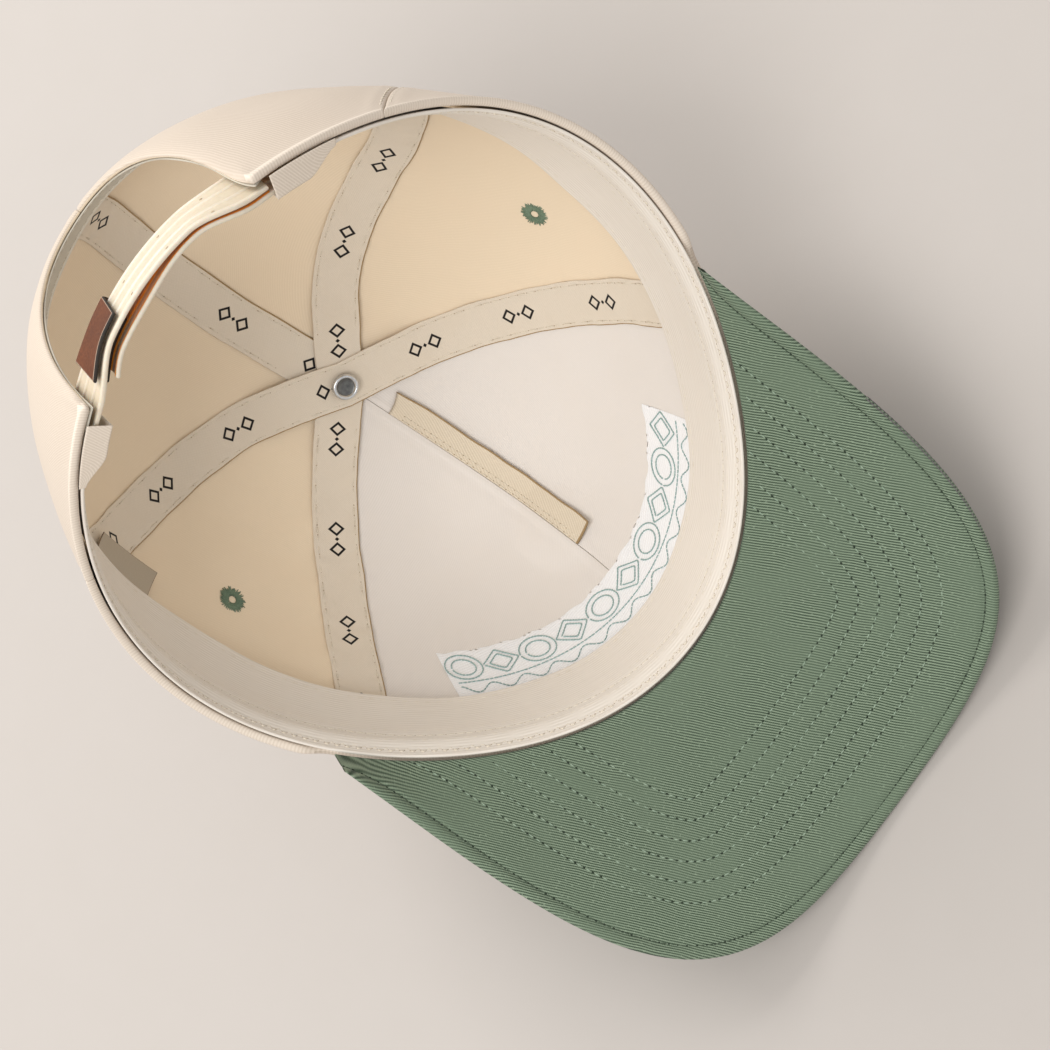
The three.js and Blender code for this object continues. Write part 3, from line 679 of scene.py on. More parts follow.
@dataclass(frozen=True)
class ClothFinish:
    """Woven cloth that reads its piece's own cloth coordinates.

    Attributes:
        name: Name of the material.
        low: Colour between the ribs or yarns.
        high: Colour on top of them.
        tired: Colour that shows through in soft patches.
        pitch: Distance between ribs or yarns, in millimetres.
        angle: Direction of the ribs in degrees, or None for a plain weave.
        relief: Height of the weave, in millimetres.
        roughness: Roughness of the cloth.
        sheen: Sheen weight.
    """

    name: str
    low: Color
    high: Color
    tired: Color
    pitch: float
    angle: Optional[float] = None
    relief: float = 0.12
    roughness: float = 0.88
    sheen: float = 0.12

    def material(self) -> bpy.types.Material:
        """Makes the material.

        Returns:
            The finished material.
        """
        material, shade, shader = new_material(self.name)
        cloth = shade.add("ShaderNodeUVMap", uv_map=CLOTH_MAP)
        inputs = {"Cloth": cloth.outputs[0], "Pitch": self.pitch}
        if self.angle is not None:
            inputs["Angle"] = math.radians(self.angle)
        weave = shade.add("ShaderNodeGroup", inputs, node_tree=PLAIN if self.angle is None else TWILL)
        color = shade.blend(weave.outputs["Height"], self.low, self.high)
        worn = {0: weave.outputs["Worn"], 1: 0.42, 2: 0.68, 3: 0.0, 4: 0.5}
        patch = shade.add("ShaderNodeMapRange", worn, interpolation_type="SMOOTHSTEP")
        color = shade.blend(patch.outputs[0], color, self.tired)
        relief = {"Strength": 0.8, "Distance": self.relief * MM, "Height": weave.outputs["Height"]}
        bump = shade.add("ShaderNodeBump", relief)
        shade.tree.links.new(color, shader.inputs["Base Color"])
        shade.tree.links.new(bump.outputs[0], shader.inputs["Normal"])
        shader.inputs["Roughness"].default_value = self.roughness
        shader.inputs["Sheen Weight"].default_value = self.sheen
        shader.inputs["Sheen Roughness"].default_value = 0.5
        shader.inputs["Specular IOR Level"].default_value = 0.2
        return material


@dataclass(frozen=True)
class GrainFinish:
    """A material with a fine grain on Object coordinates: thread, plastic, leather or metal.

    Attributes:
        name: Name of the material.
        low: Colour in the grain's hollows.
        high: Colour on its tops.
        scale: Grain cells per metre.
        relief: Depth of the grain, in millimetres.
        roughness: Roughness.
        metallic: 1 for metal.
        specular: Specular level.
        scatter: Subsurface weight, for plastic that light enters.
        glow: Painted glow, an emission colour that stands in for light that comes through it from behind.
    """

    name: str
    low: Color
    high: Color
    scale: float
    relief: float = 0.05
    roughness: float = 0.7
    metallic: float = 0.0
    specular: float = 0.4
    scatter: float = 0.0
    glow: Optional[Color] = None

    def material(self) -> bpy.types.Material:
        """Makes the material.

        Returns:
            The finished material.
        """
        material, shade, shader = new_material(self.name)
        where = shade.add("ShaderNodeTexCoord")
        inputs = {"Place": where.outputs["Object"], "Scale": self.scale}
        grain = shade.add("ShaderNodeGroup", inputs, node_tree=GRAIN)
        color = shade.blend(grain.outputs["Share"], self.low, self.high)
        rough = shade.math("MULTIPLY_ADD", grain.outputs["Broad"], 0.12, self.roughness - 0.06)
        relief = {"Strength": 0.7, "Distance": self.relief * MM, "Height": grain.outputs["Height"]}
        bump = shade.add("ShaderNodeBump", relief)
        shade.tree.links.new(color, shader.inputs["Base Color"])
        shade.tree.links.new(rough, shader.inputs["Roughness"])
        shade.tree.links.new(bump.outputs[0], shader.inputs["Normal"])
        shader.inputs["Metallic"].default_value = self.metallic
        shader.inputs["Specular IOR Level"].default_value = self.specular
        if self.scatter:
            shader.inputs["Subsurface Weight"].default_value = self.scatter
            shader.inputs["Subsurface Scale"].default_value = 0.002
            shader.inputs["Subsurface Radius"].default_value = (1.0, 0.5, 0.25)
        # The glow is painted light: an emission that stands in for light passing through from behind.
        if self.glow:
            shader.inputs["Emission Color"].default_value = (*self.glow, 1.0)
            shader.inputs["Emission Strength"].default_value = 1.0
        return material


@dataclass(frozen=True)
class Finishes:
    """Every finish of the cap, in linear colours."""

    twill_outside: ClothFinish = ClothFinish(
        "cream_twill", (0.515, 0.427, 0.338), (0.60, 0.507, 0.418), (0.56, 0.47, 0.385), 0.66, 55, 0.045
    )
    # A lighter copy of the outer twill for the rim roll and the rim folds: painted light where the lamps
    # leave the roll in shade.
    painted_light_hem_twill: ClothFinish = ClothFinish(
        "painted_light_hem_twill", (0.64, 0.545, 0.445), (0.76, 0.66, 0.555), (0.70, 0.60, 0.505), 0.66, 55, 0.045
    )
    # The back of the same cream twill, kept brighter and warmer than the outer face: its own tone plus
    # painted warm light for light bouncing round and passing through the crown.
    twill_inside_painted_light: ClothFinish = ClothFinish(
        "cream_twill_inside_painted_light", (0.785, 0.645, 0.47), (0.84, 0.70, 0.525), (0.815, 0.665, 0.49), 0.55, 55, 0.018
    )
    stiffener: ClothFinish = ClothFinish(
        "front_stiffener", (0.745, 0.69, 0.635), (0.80, 0.745, 0.695), (0.77, 0.71, 0.65), 0.6, 48, 0.02
    )
    green_twill: ClothFinish = ClothFinish(
        "green_twill", (0.022, 0.042, 0.022), (0.275, 0.34, 0.24), (0.14, 0.185, 0.125), 0.71, 25.5, 0.10
    )
    flap: ClothFinish = ClothFinish(
        "front_flap_twill", (0.64, 0.545, 0.41), (0.76, 0.665, 0.53), (0.70, 0.60, 0.47), 0.75, 55, 0.04
    )
    tape: ClothFinish = ClothFinish(
        "seam_tape", (0.66, 0.575, 0.46), (0.775, 0.685, 0.575), (0.71, 0.615, 0.495), 0.7, None, 0.05
    )
    sweatband: ClothFinish = ClothFinish(
        "sweatband_cotton", (0.65, 0.58, 0.495), (0.84, 0.78, 0.705), (0.74, 0.665, 0.58), 1.0, None, 0.07
    )
    facing: ClothFinish = ClothFinish(
        "arch_facing", (0.50, 0.46, 0.38), (0.62, 0.57, 0.48), (0.56, 0.51, 0.42), 0.7, None, 0.05
    )
    facing_edge: ClothFinish = ClothFinish(
        "arch_facing_edge", (0.66, 0.61, 0.52), (0.76, 0.71, 0.62), (0.72, 0.66, 0.57), 0.7, None, 0.04
    )
    label: ClothFinish = ClothFinish(
        "label_cloth", (0.38, 0.32, 0.24), (0.49, 0.42, 0.33), (0.44, 0.37, 0.28), 0.5, None, 0.04
    )
    backing: ClothFinish = ClothFinish(
        "stitch_backing", (0.85, 0.84, 0.84), (0.93, 0.93, 0.94), (0.90, 0.89, 0.89), 0.9, 20, 0.08
    )
    # A thin brown line for the edges of the tapes and the flap: painted shade for the shadow lines at their
    # lifted edges.
    painted_edge_shadow: ClothFinish = ClothFinish(
        "painted_edge_shadow_line", (0.28, 0.18, 0.085), (0.42, 0.29, 0.15), (0.36, 0.24, 0.12), 0.6, None, 0.04
    )
    cream_thread: GrainFinish = GrainFinish(
        "cream_thread", (0.62, 0.54, 0.42), (0.80, 0.73, 0.61), 2600, 0.05, 0.75
    )
    pale_thread: GrainFinish = GrainFinish(
        "pale_thread", (0.18, 0.25, 0.18), (0.36, 0.44, 0.33), 2600, 0.05, 0.7
    )
    green_thread: GrainFinish = GrainFinish(
        "green_thread", (0.085, 0.13, 0.085), (0.215, 0.295, 0.20), 2600, 0.06, 0.75
    )
    # The cloth's green thread made darker for the edge row: real thread carrying painted shade from the
    # groove it sinks into.
    shaded_edge_thread: GrainFinish = GrainFinish(
        "shaded_edge_thread", (0.035, 0.052, 0.032), (0.10, 0.135, 0.085), 2600, 0.05, 0.75
    )
    # Dark purple-grey beads along the peak's front edge: painted shade for the edge's shaded side.
    peak_edge_shade: GrainFinish = GrainFinish(
        "peak_edge_shade", (0.10, 0.085, 0.09), (0.19, 0.165, 0.17), 1800, 0.05, 0.8
    )
    # Dark beads for the needle holes between the peak's stitches: painted shade in the holes.
    needle_hole_shade: GrainFinish = GrainFinish(
        "needle_hole_shade", (0.012, 0.022, 0.012), (0.035, 0.05, 0.03), 1500, 0.02, 0.9
    )
    # Brown beads for the needle holes beside the cream stitches: painted shade in the holes and beside the
    # stitches.
    cream_needle_hole_shade: GrainFinish = GrainFinish(
        "needle_hole_shade_cream", (0.36, 0.27, 0.17), (0.48, 0.38, 0.26), 1500, 0.02, 0.9
    )
    outline: GrainFinish = GrainFinish(
        "outline_thread", (0.22, 0.34, 0.32), (0.38, 0.50, 0.47), 2600, 0.05, 0.7
    )
    plastic: GrainFinish = GrainFinish(
        "strap_plastic", (0.60, 0.52, 0.405), (0.67, 0.60, 0.485), 700, 0.02, 0.42, 0.0, 0.5, 0.15
    )
    # A darker copy of the plastic for the recesses between the moulded ribs: painted shade.
    plastic_recess_shade: GrainFinish = GrainFinish(
        "strap_plastic_recess_shade", (0.55, 0.46, 0.33), (0.62, 0.53, 0.40), 900, 0.03, 0.5, 0.0, 0.45, 0.1
    )
    # Orange, glowing plastic for the faces between the two straps: painted light for light that passes
    # through the plastic and bounces between them.
    plastic_painted_glow: GrainFinish = GrainFinish(
        "strap_plastic_painted_glow",
        (0.50, 0.19, 0.03),
        (0.62, 0.27, 0.05),
        700,
        0.02,
        0.5,
        0.0,
        0.4,
        0.0,
        (0.115, 0.035, 0.003),
    )
    leather: GrainFinish = GrainFinish(
        "tab_leather", (0.075, 0.022, 0.008), (0.15, 0.048, 0.019), 1500, 0.12, 0.7, 0.0, 0.2
    )
    leather_edge: GrainFinish = GrainFinish(
        "tab_bevel", (0.30, 0.19, 0.13), (0.42, 0.29, 0.20), 1500, 0.05, 0.6
    )
    cut_edge: GrainFinish = GrainFinish(
        "tab_cut_edge", (0.010, 0.008, 0.006), (0.03, 0.022, 0.016), 1500, 0.05, 0.7
    )
    label_edge: GrainFinish = GrainFinish(
        "label_edge", (0.14, 0.10, 0.07), (0.24, 0.18, 0.12), 1500, 0.03, 0.8
    )
    rivet_ring: GrainFinish = GrainFinish(
        "rivet_ring", (0.55, 0.56, 0.57), (0.74, 0.75, 0.76), 900, 0.01, 0.28, 1.0
    )
    rivet_face: GrainFinish = GrainFinish(
        "rivet_face", (0.10, 0.10, 0.10), (0.22, 0.22, 0.21), 900, 0.02, 0.35, 1.0
    )


def trim(
    piece: bpy.types.Object,
    material: bpy.types.Material,
    near: Callable[[float, float], bool],
    face: Optional[Face] = None,
) -> None:
    """Gives the faces that pass a test on their cloth coordinates a material of their own.

    Args:
        piece: The piece.
        material: The material.
        near: The test, on a face's mean cloth coordinates.
        face: The face of the cloth that it keeps to, on a piece with a material for each.
    """
    number = len(piece.data.materials)
    piece.data.materials.append(material)
    layer = piece.data.uv_layers[CLOTH_MAP].data
    for polygon in piece.data.polygons:
        if face is not None and polygon.material_index != face.value:
            continue
        u, v = np.mean([layer[k].uv for k in polygon.loop_indices], axis=0)
        if near(u, v):
            polygon.material_index = number


class Stitching:
    """Short threads, and dark beads of painted shade for the needle holes between them, set along lines."""

    batch = 900

    def __init__(
        self, name: str, thread: bpy.types.Material, hole: Optional[bpy.types.Material], slot: str
    ) -> None:
        """Starts an empty set of stitches.

        Args:
            name: Name of the piece.
            thread: The thread's material.
            hole: Material of the dark beads of painted shade in the needle holes, or None for no holes.
            slot: The record's material slot.
        """
        self.name = name
        self.materials = [thread] + ([hole] if hole else [])
        self.slot = slot
        self.builder = bmesh.new()
        self.sewn: list[bpy.types.Mesh] = []
        self.hole_size = (0.26, 0.18, 0.08)
        self.draw = np.random.default_rng(len(name))

    def set_aside(self) -> None:
        """Moves the stitches made so far out of the bmesh, which keeps its operators quick."""
        mesh = bpy.data.meshes.new(f"{self.name}_batch")
        self.builder.to_mesh(mesh)
        self.builder.clear()
        self.sewn.append(mesh)

    def bead(
        self, centre: Array, along: Array, out: Array, half: tuple[float, float, float], material: int
    ) -> None:
        """Adds one lengthened bead.

        Args:
            centre: Its centre, in row millimetres.
            along: Its long direction.
            out: The surface's normal.
            half: Half its length, width and height, in millimetres.
            material: Number of its material.
        """
        x = unit(along)
        z = unit(out - x * np.dot(out, x))
        y = np.cross(z, x)
        columns = np.stack([x * half[0], y * half[1], z * half[2], centre], axis=1)
        scaled = Matrix.Scale(MM, 4) @ Matrix([*columns.tolist(), [0, 0, 0, 1]])
        made = bmesh.ops.create_uvsphere(self.builder, u_segments=6, v_segments=4, radius=1.0, matrix=scaled)
        for polygon in {f for vertex in made["verts"] for f in vertex.link_faces}:
            polygon.material_index = material
            polygon.smooth = True
        if len(self.builder.verts) > self.batch:
            self.set_aside()

    def row(
        self,
        points: Array,
        normals: Array,
        pitch: float,
        length: float,
        width: float = 0.42,
        lift: float = 0.06,
        stagger: float = 0.0,
    ) -> None:
        """Sews one row.

        Args:
            points: The row's line in row millimetres.
            normals: The surface's normals along it.
            pitch: Distance from stitch to stitch.
            length: Length of a stitch that shows.
            width: Thread width.
            lift: Height of the thread's middle above the line.
            stagger: Sideways swing of every other stitch, for a zigzag.
        """
        away = run_length(points)
        count = int(away[-1] // pitch)
        if count < 1:
            return
        for k in range(count):
            middle = (k + 0.5) * pitch + self.draw.normal(0.0, 0.04 * pitch)
            ends = [
                np.array([np.interp(s, away, points[:, a]) for a in range(3)])
                for s in (middle - length / 2, middle + length / 2, middle + pitch / 2)
            ]
            out = unit(np.array([np.interp(middle, away, normals[:, a]) for a in range(3)]))
            along = ends[1] - ends[0]
            side = unit(np.cross(out, along)) * stagger * (1 if k % 2 else -1)
            centre = (ends[0] + ends[1]) / 2 + out * lift + side
            self.bead(centre, along, out, (length / 2 + 0.1, width / 2, width / 2), 0)
            # A dark bead in each needle hole: painted shade.
            if len(self.materials) > 1:
                self.bead(ends[2] + out * 0.02, along, out, self.hole_size, 1)

    def build(self) -> bpy.types.Object:
        """Puts the stitches together as one piece.

        Returns:
            The finished piece.
        """
        for mesh in self.sewn:
            self.builder.from_mesh(mesh)
            bpy.data.meshes.remove(mesh)
        return finish_piece(self.name, self.builder, self.materials, self.slot)


@dataclass(frozen=True)
class Seam:
    """A seam between two panels: azimuth at the rim and sideways bow half-way up, in degrees."""

    azimuth: float
    bow: float

    def at(self, rise: Array) -> Array:
        """Azimuth in radians at a rise."""
        return np.radians(self.azimuth + self.bow * np.sin(math.pi * np.asarray(rise, float)))


@dataclass(frozen=True)
class BackSeam(Seam):
    """The rear seam, which swings aside above the arch."""

    swing: float = 6.5

    def at(self, rise: Array) -> Array:
        """Azimuth in radians at a rise."""
        t = np.maximum(np.asarray(rise, float), 0.5)
        return np.radians(self.azimuth - self.swing * (1 - np.sin(math.pi * t)))


@dataclass(frozen=True)
class Seams:
    """The six seams of the crown."""

    right_back: Seam = Seam(-136.4, 14.7)
    right_front: Seam = Seam(-60.3, -1.0)
    front: Seam = Seam(1.4, -1.6)
    left_front: Seam = Seam(62.5, -2.0)
    left_back: Seam = Seam(126.0, -6.5)
    back: Seam = BackSeam(180.0, 0.0)
    right_back_on_round: Seam = Seam(-136.4 + 360.0, 14.7)


SEAMS = Seams()


@dataclass(frozen=True)
class ArchSide:
    """One half of the rear arch: its width, how square it is, and how far its foot flares out."""

    half_width: float
    fullness: float
    flare: float


@dataclass(frozen=True)
class Arch:
    """The rear arch."""

    radius: float = 106.0
    height: float = 75.8
    facing_width: float = 8.0
    flare_height: float = 5.5
    left: ArchSide = ArchSide(36.0, 2.0, 0.0)
    right: ArchSide = ArchSide(33.8, 1.78, 3.6)

    def half_edge(self, side: ArchSide, c: Array, s: Array) -> tuple[Array, Array]:
        """Distance across and height of one half of the edge, from the cosine and sine of its turn.

        Args:
            side: The half.
            c: Size of the turn's cosine.
            s: Its sine.

        Returns:
            The distances and the heights.
        """
        height = self.height * s ** (2 / side.fullness)
        foot = side.flare * np.exp(-height / self.flare_height)
        return side.half_width * c ** (2 / side.fullness) + foot, height

    def edge(self, angle: Array) -> tuple[Array, Array]:
        """Edge of the opening for a turn in radians, 0 at the right corner and pi at the left.

        Args:
            angle: The turns.

        Returns:
            Distances across and heights.
        """
        angle = np.asarray(angle, float)
        c, s = np.abs(np.cos(angle)), np.maximum(np.sin(angle), 0.0)
        right, left = self.half_edge(self.right, c, s), self.half_edge(self.left, c, s)
        on_right = angle < math.pi / 2
        return np.where(on_right, right[0], -left[0]), np.where(on_right, right[1], left[1])

    def beside(self, angle: Array, away: Array) -> tuple[Array, Array]:
        """A line beside the edge, moved away from the opening.

        Args:
            angle: Turns along the edge.
            away: How far it is moved.

        Returns:
            Distances across and heights.
        """
        step = math.radians(1.0)
        ahead, behind = self.edge(np.minimum(angle + step, math.pi)), self.edge(np.maximum(angle - step, 0.0))
        out = unit(np.stack([ahead[1] - behind[1], behind[0] - ahead[0]], -1))
        across, height = self.edge(angle)
        return across + out[..., 0] * away, height + out[..., 1] * away

    def place(self, across: Array, height: Array) -> tuple[Array, Array]:
        """Azimuth and rise of a place across and above the arch's middle."""
        azimuth = math.pi + np.asarray(across, float) / self.radius
        return azimuth, CROWN.rise_at_height(azimuth, height)


ARCH = Arch()


@dataclass
class Panel:
    """One of the crown's six panels.

    Attributes:
        name: Name of the CAD node, and with _cloth the name of the piece.
        first: Seam on its side of lower azimuth.
        last: Seam on its side of higher azimuth.
        arch_side: 0, or the side of the rear arch that it borders: -1 left, 1 right.
        seed: Seed of its creases.
        creases: Depth of its creases, in millimetres.
        cut: Width, length and area of the flat cut piece, in metres and square metres.
    """

    name: str
    first: Seam
    last: Seam
    cut: tuple[float, float, float]
    arch_side: int = 0
    seed: int = 1
    creases: float = 0.25
    columns: int = 76
    rows: int = 70
    seam_gap: float = 0.015
    seam_radius: float = 1.0
    inner_seam_radius: float = 0.12
    hem_extra: float = 0.8
    arch_hem_extra: float = -0.45
    hem_height: float = 3.5
    outer_hem: float = 1.5
    top_radius: float = 3.0
    wall_share: float = 0.42
    cloth_length: float = 142.0
    over_peak_height: float = 3.2
    fold_wavelength: float = 34.0
    seam_ridge: tuple[float, float, float] = (0.18, 3.2, 1.6)
    seam_groove: tuple[float, float, float] = (0.16, 1.6, 0.5)

    def low_edge(self, u: Array) -> tuple[Array, Array]:
        """Azimuth and rise of the panel's lower edge.

        Args:
            u: Grid positions across the panel.

        Returns:
            The azimuths and rises.
        """
        if not self.arch_side:
            azimuth = mix(self.first.at(0.0), self.last.at(0.0), u)
            off = np.degrees(np.abs(np.arctan2(np.sin(azimuth), np.cos(azimuth))))
            over = 1 - smooth(off, 70.6, 76.1)
            return azimuth, CROWN.rise_at_height(azimuth, over * self.over_peak_height)
        w = u if self.arch_side < 0 else 1 - u
        corner = math.pi + float(ARCH.edge(0.0 if self.arch_side > 0 else math.pi)[0]) / ARCH.radius
        seam = self.first.at(0.0) if self.arch_side < 0 else self.last.at(0.0)
        wall = mix(seam, corner, np.clip(w / self.wall_share, 0.0, 1.0))
        angle = math.pi / 2 * np.clip((w - self.wall_share) / (1 - self.wall_share), 0.0, 1.0)
        azimuth, rise = ARCH.place(*ARCH.edge(angle if self.arch_side > 0 else math.pi - angle))
        on_wall = w <= self.wall_share
        return np.where(on_wall, wall, azimuth), np.where(on_wall, 0.0, rise)

    def on_arch(self, u: Array) -> Array:
        """1 where the lower edge runs along the arch, 0 where it runs along the rim.

        Args:
            u: Grid positions across the panel.

        Returns:
            The shares.
        """
        if not self.arch_side:
            return np.zeros_like(u)
        return smooth(u if self.arch_side < 0 else 1 - u, self.wall_share, self.wall_share + 0.05)

    def where(self, u: Array, v: Array) -> tuple[Array, Array]:
        """Azimuth and rise of the panel's places.

        Args:
            u: Grid positions across the panel.
            v: Grid positions up the panel.

        Returns:
            The azimuths and rises.
        """
        azimuth, rise = self.low_edge(u)
        start = (azimuth - self.first.at(rise)) / (self.last.at(rise) - self.first.at(rise))
        across = mix(start, u, np.sin(v * math.pi / 2)) if self.arch_side else start
        top = CROWN.rise_at_radius(azimuth, self.top_radius)
        t = mix(rise, top, v)
        phi = mix(self.first.at(t), self.last.at(t), across)
        radius = np.maximum(CROWN.from_top(CROWN.point(phi, t)), 1.0)
        return phi + self.seam_gap / radius * (1 - 2 * across), t

    def cloth(self, u: Array, v: Array) -> Array:
        """Cloth coordinates, with the grain along the panel's middle.

        Args:
            u: Grid positions across the panel.
            v: Grid positions up the panel.

        Returns:
            The coordinates in millimetres.
        """
        phi, t = self.where(u, v)
        middle = (self.first.at(t) + self.last.at(t)) / 2
        radius = CROWN.from_top(CROWN.point(phi, t))
        return np.stack([(phi - middle) * radius, t * self.cloth_length], axis=-1)

    def offsets(self, u: Array, v: Array) -> tuple[Array, Array]:
        """How far the two faces stand out from the crown's inner face.

        Args:
            u: Grid positions across the panel.
            v: Grid positions up the panel.

        Returns:
            Offsets of the inner and outer face.
        """
        phi, t = self.where(u, v)
        points = CROWN.point(phi, t)
        hem = border_distance(points, points[:, 0])
        ends = [border_distance(points, edge) for edge in (points[0], points[-1])]
        seam = np.minimum(*ends)
        extra = mix(self.hem_extra, self.arch_hem_extra, self.on_arch(u))
        full = WALL + extra * (1 - smooth(hem, 0.0, self.hem_height))
        top = border_distance(points, points[:, -1])
        rounding = np.minimum(quarter_round(hem, 0.9), quarter_round(top, 0.8))
        outer = np.minimum(rounding, quarter_round(seam, mix(0.35, self.seam_radius, smooth(hem, 0.5, 5.0))))
        inner = np.minimum(rounding, quarter_round(seam, self.inner_seam_radius))
        cloth = self.cloth(u, v)
        fade = smooth(hem, 2.0, 14.0) * smooth(CROWN.from_top(points), 10.0, 30.0)
        crease = self.creases * fade * ripple(cloth[..., 0], cloth[..., 1], self.fold_wavelength, self.seed)
        for way, (size, away, spread) in ((1, self.seam_ridge), (-1, self.seam_groove)):
            crease = crease + way * size * np.exp(-(((seam - away) / spread) ** 2)) * smooth(hem, 1.0, 5.0)
        middle = full / 2
        return middle - full / 2 * inner + crease, middle + full / 2 * outer + crease

    def grid(self) -> tuple[Array, Array]:
        """Grid positions across and up the panel.

        Returns:
            The two lists of positions, with one on the arch's corner.
        """
        u = edged(95.0, 1.3, self.columns)
        if self.arch_side:
            corner = self.wall_share if self.arch_side < 0 else 1 - self.wall_share
            u[np.argmin(np.abs(u - corner))] = corner
        v = edged(130.0, 1.6, self.rows)
        return u, np.where(v < 1.0, np.sin(v * math.pi / 2), 1.0)

    def build(
        self, outside: bpy.types.Material, inside: bpy.types.Material, hem: bpy.types.Material, slot: str
    ) -> bpy.types.Object:
        """Builds the panel.

        Args:
            outside: Material of the outer face.
            inside: Material of the inner face.
            hem: Material of both faces at the rim, a lighter twill with painted light on the rim roll.
            slot: The record's material slot.

        Returns:
            The finished piece.
        """
        grid = self.grid()
        offsets = self.offsets(*np.meshgrid(*grid, indexing="ij"))

        def face(u: Array, v: Array, sign: int) -> Array:
            """One face, as far out as the cloth's creases and rounded edges take it."""
            return skin(*self.where(u, v), offsets[sign > 0])

        shell = Shell(f"{self.name}_cloth", *grid, face, self.cloth)
        piece = shell.build([inside, outside], slot, [self.name])
        # The rim's faces take the lighter hem twill: painted light on the rim roll.
        trim(piece, hem, lambda _, up: up < self.hem_height, Face.INSIDE)
        trim(piece, hem, lambda _, up: up < self.outer_hem, Face.OUTSIDE)
        return piece


class Panels:
    """The six panels and the stitches beside their outer seams."""

    def __init__(self, finishes: Finishes) -> None:
        """Keeps the finishes and lays out the panels.

        Args:
            finishes: Every finish of the cap.
        """
        self.finishes = finishes
        self.pieces: dict[str, bpy.types.Object] = {}
        self.panels = [
            Panel("panel_front_left", SEAMS.front, SEAMS.left_front, (0.094, 0.156, 0.00915), 0, 11, 0.15),
            Panel("panel_front_right", SEAMS.right_front, SEAMS.front, (0.095, 0.156, 0.0094), 0, 12, 0.15),
            Panel("panel_side_left", SEAMS.left_front, SEAMS.left_back, (0.105, 0.141, 0.0080), 0, 13),
            Panel("panel_side_right", SEAMS.right_back, SEAMS.right_front, (0.113, 0.150, 0.00945), 0, 14),
            Panel("panel_back_left", SEAMS.left_back, SEAMS.back, (0.115, 0.150, 0.0101), -1, 15),
            Panel("panel_back_right", SEAMS.back, SEAMS.right_back_on_round, (0.115, 0.150, 0.0103), 1, 16),
        ]

    def build(self) -> None:
        """Builds the panels and their seam stitches."""
        outside = self.finishes.twill_outside.material()
        # The inner faces take the brighter, warmer inside twill, which carries painted light.
        inside = self.finishes.twill_inside_painted_light.material()
        stiff = self.finishes.stiffener.material()
        hem = self.finishes.painted_light_hem_twill.material()
        for panel in self.panels:
            front = "front" in panel.name
            slot = "stiffened_twill" if front else "cream_twill"
            self.pieces[panel.name] = panel.build(outside, stiff if front else inside, hem, slot)
        self.sew()

    def declare(self, on_front: bpy.types.Object, on_back: bpy.types.Object) -> None:
        """Goes through each panel's cut sizes and its trims, and does nothing more with them.

        Args:
            on_front: The folded seam edge, which is narrower than a sheet and goes with the front.
            on_back: The arch's facing, which goes with the back.
        """
        trims = {"panel_front_right": [on_front], "panel_back_left": [on_back]}
        for panel in self.panels:
            width, length, area = panel.cut
            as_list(trims.get(panel.name, []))

    def sew(self) -> None:
        """Sews a row on each side of each outer seam."""
        rows = Stitching("outer_seam_stitches", self.finishes.cream_thread.material(), None, "cream_twill")
        arch_top = float(ARCH.place(0.0, ARCH.height)[1])
        right, left = (SEAMS.right_back, SEAMS.right_front), (SEAMS.left_front, SEAMS.left_back)
        for seam in (*right, SEAMS.front, *left, SEAMS.back):
            low = arch_top + 0.02 if seam is SEAMS.back else 0.03
            rise = np.linspace(low, 0.93, 160)
            for side in (-1.6, 1.6):
                middle = seam.at(rise)
                radius = np.maximum(CROWN.from_top(CROWN.point(middle, rise)), 4.0)
                azimuth = middle + side / radius
                keep = radius > 9.0
                points = skin(azimuth, rise, np.full(rise.shape, WALL - 0.12))[keep]
                rows.row(points, turn(CROWN.normal(azimuth, rise))[keep], 3.0, 2.2)
        rows.build()


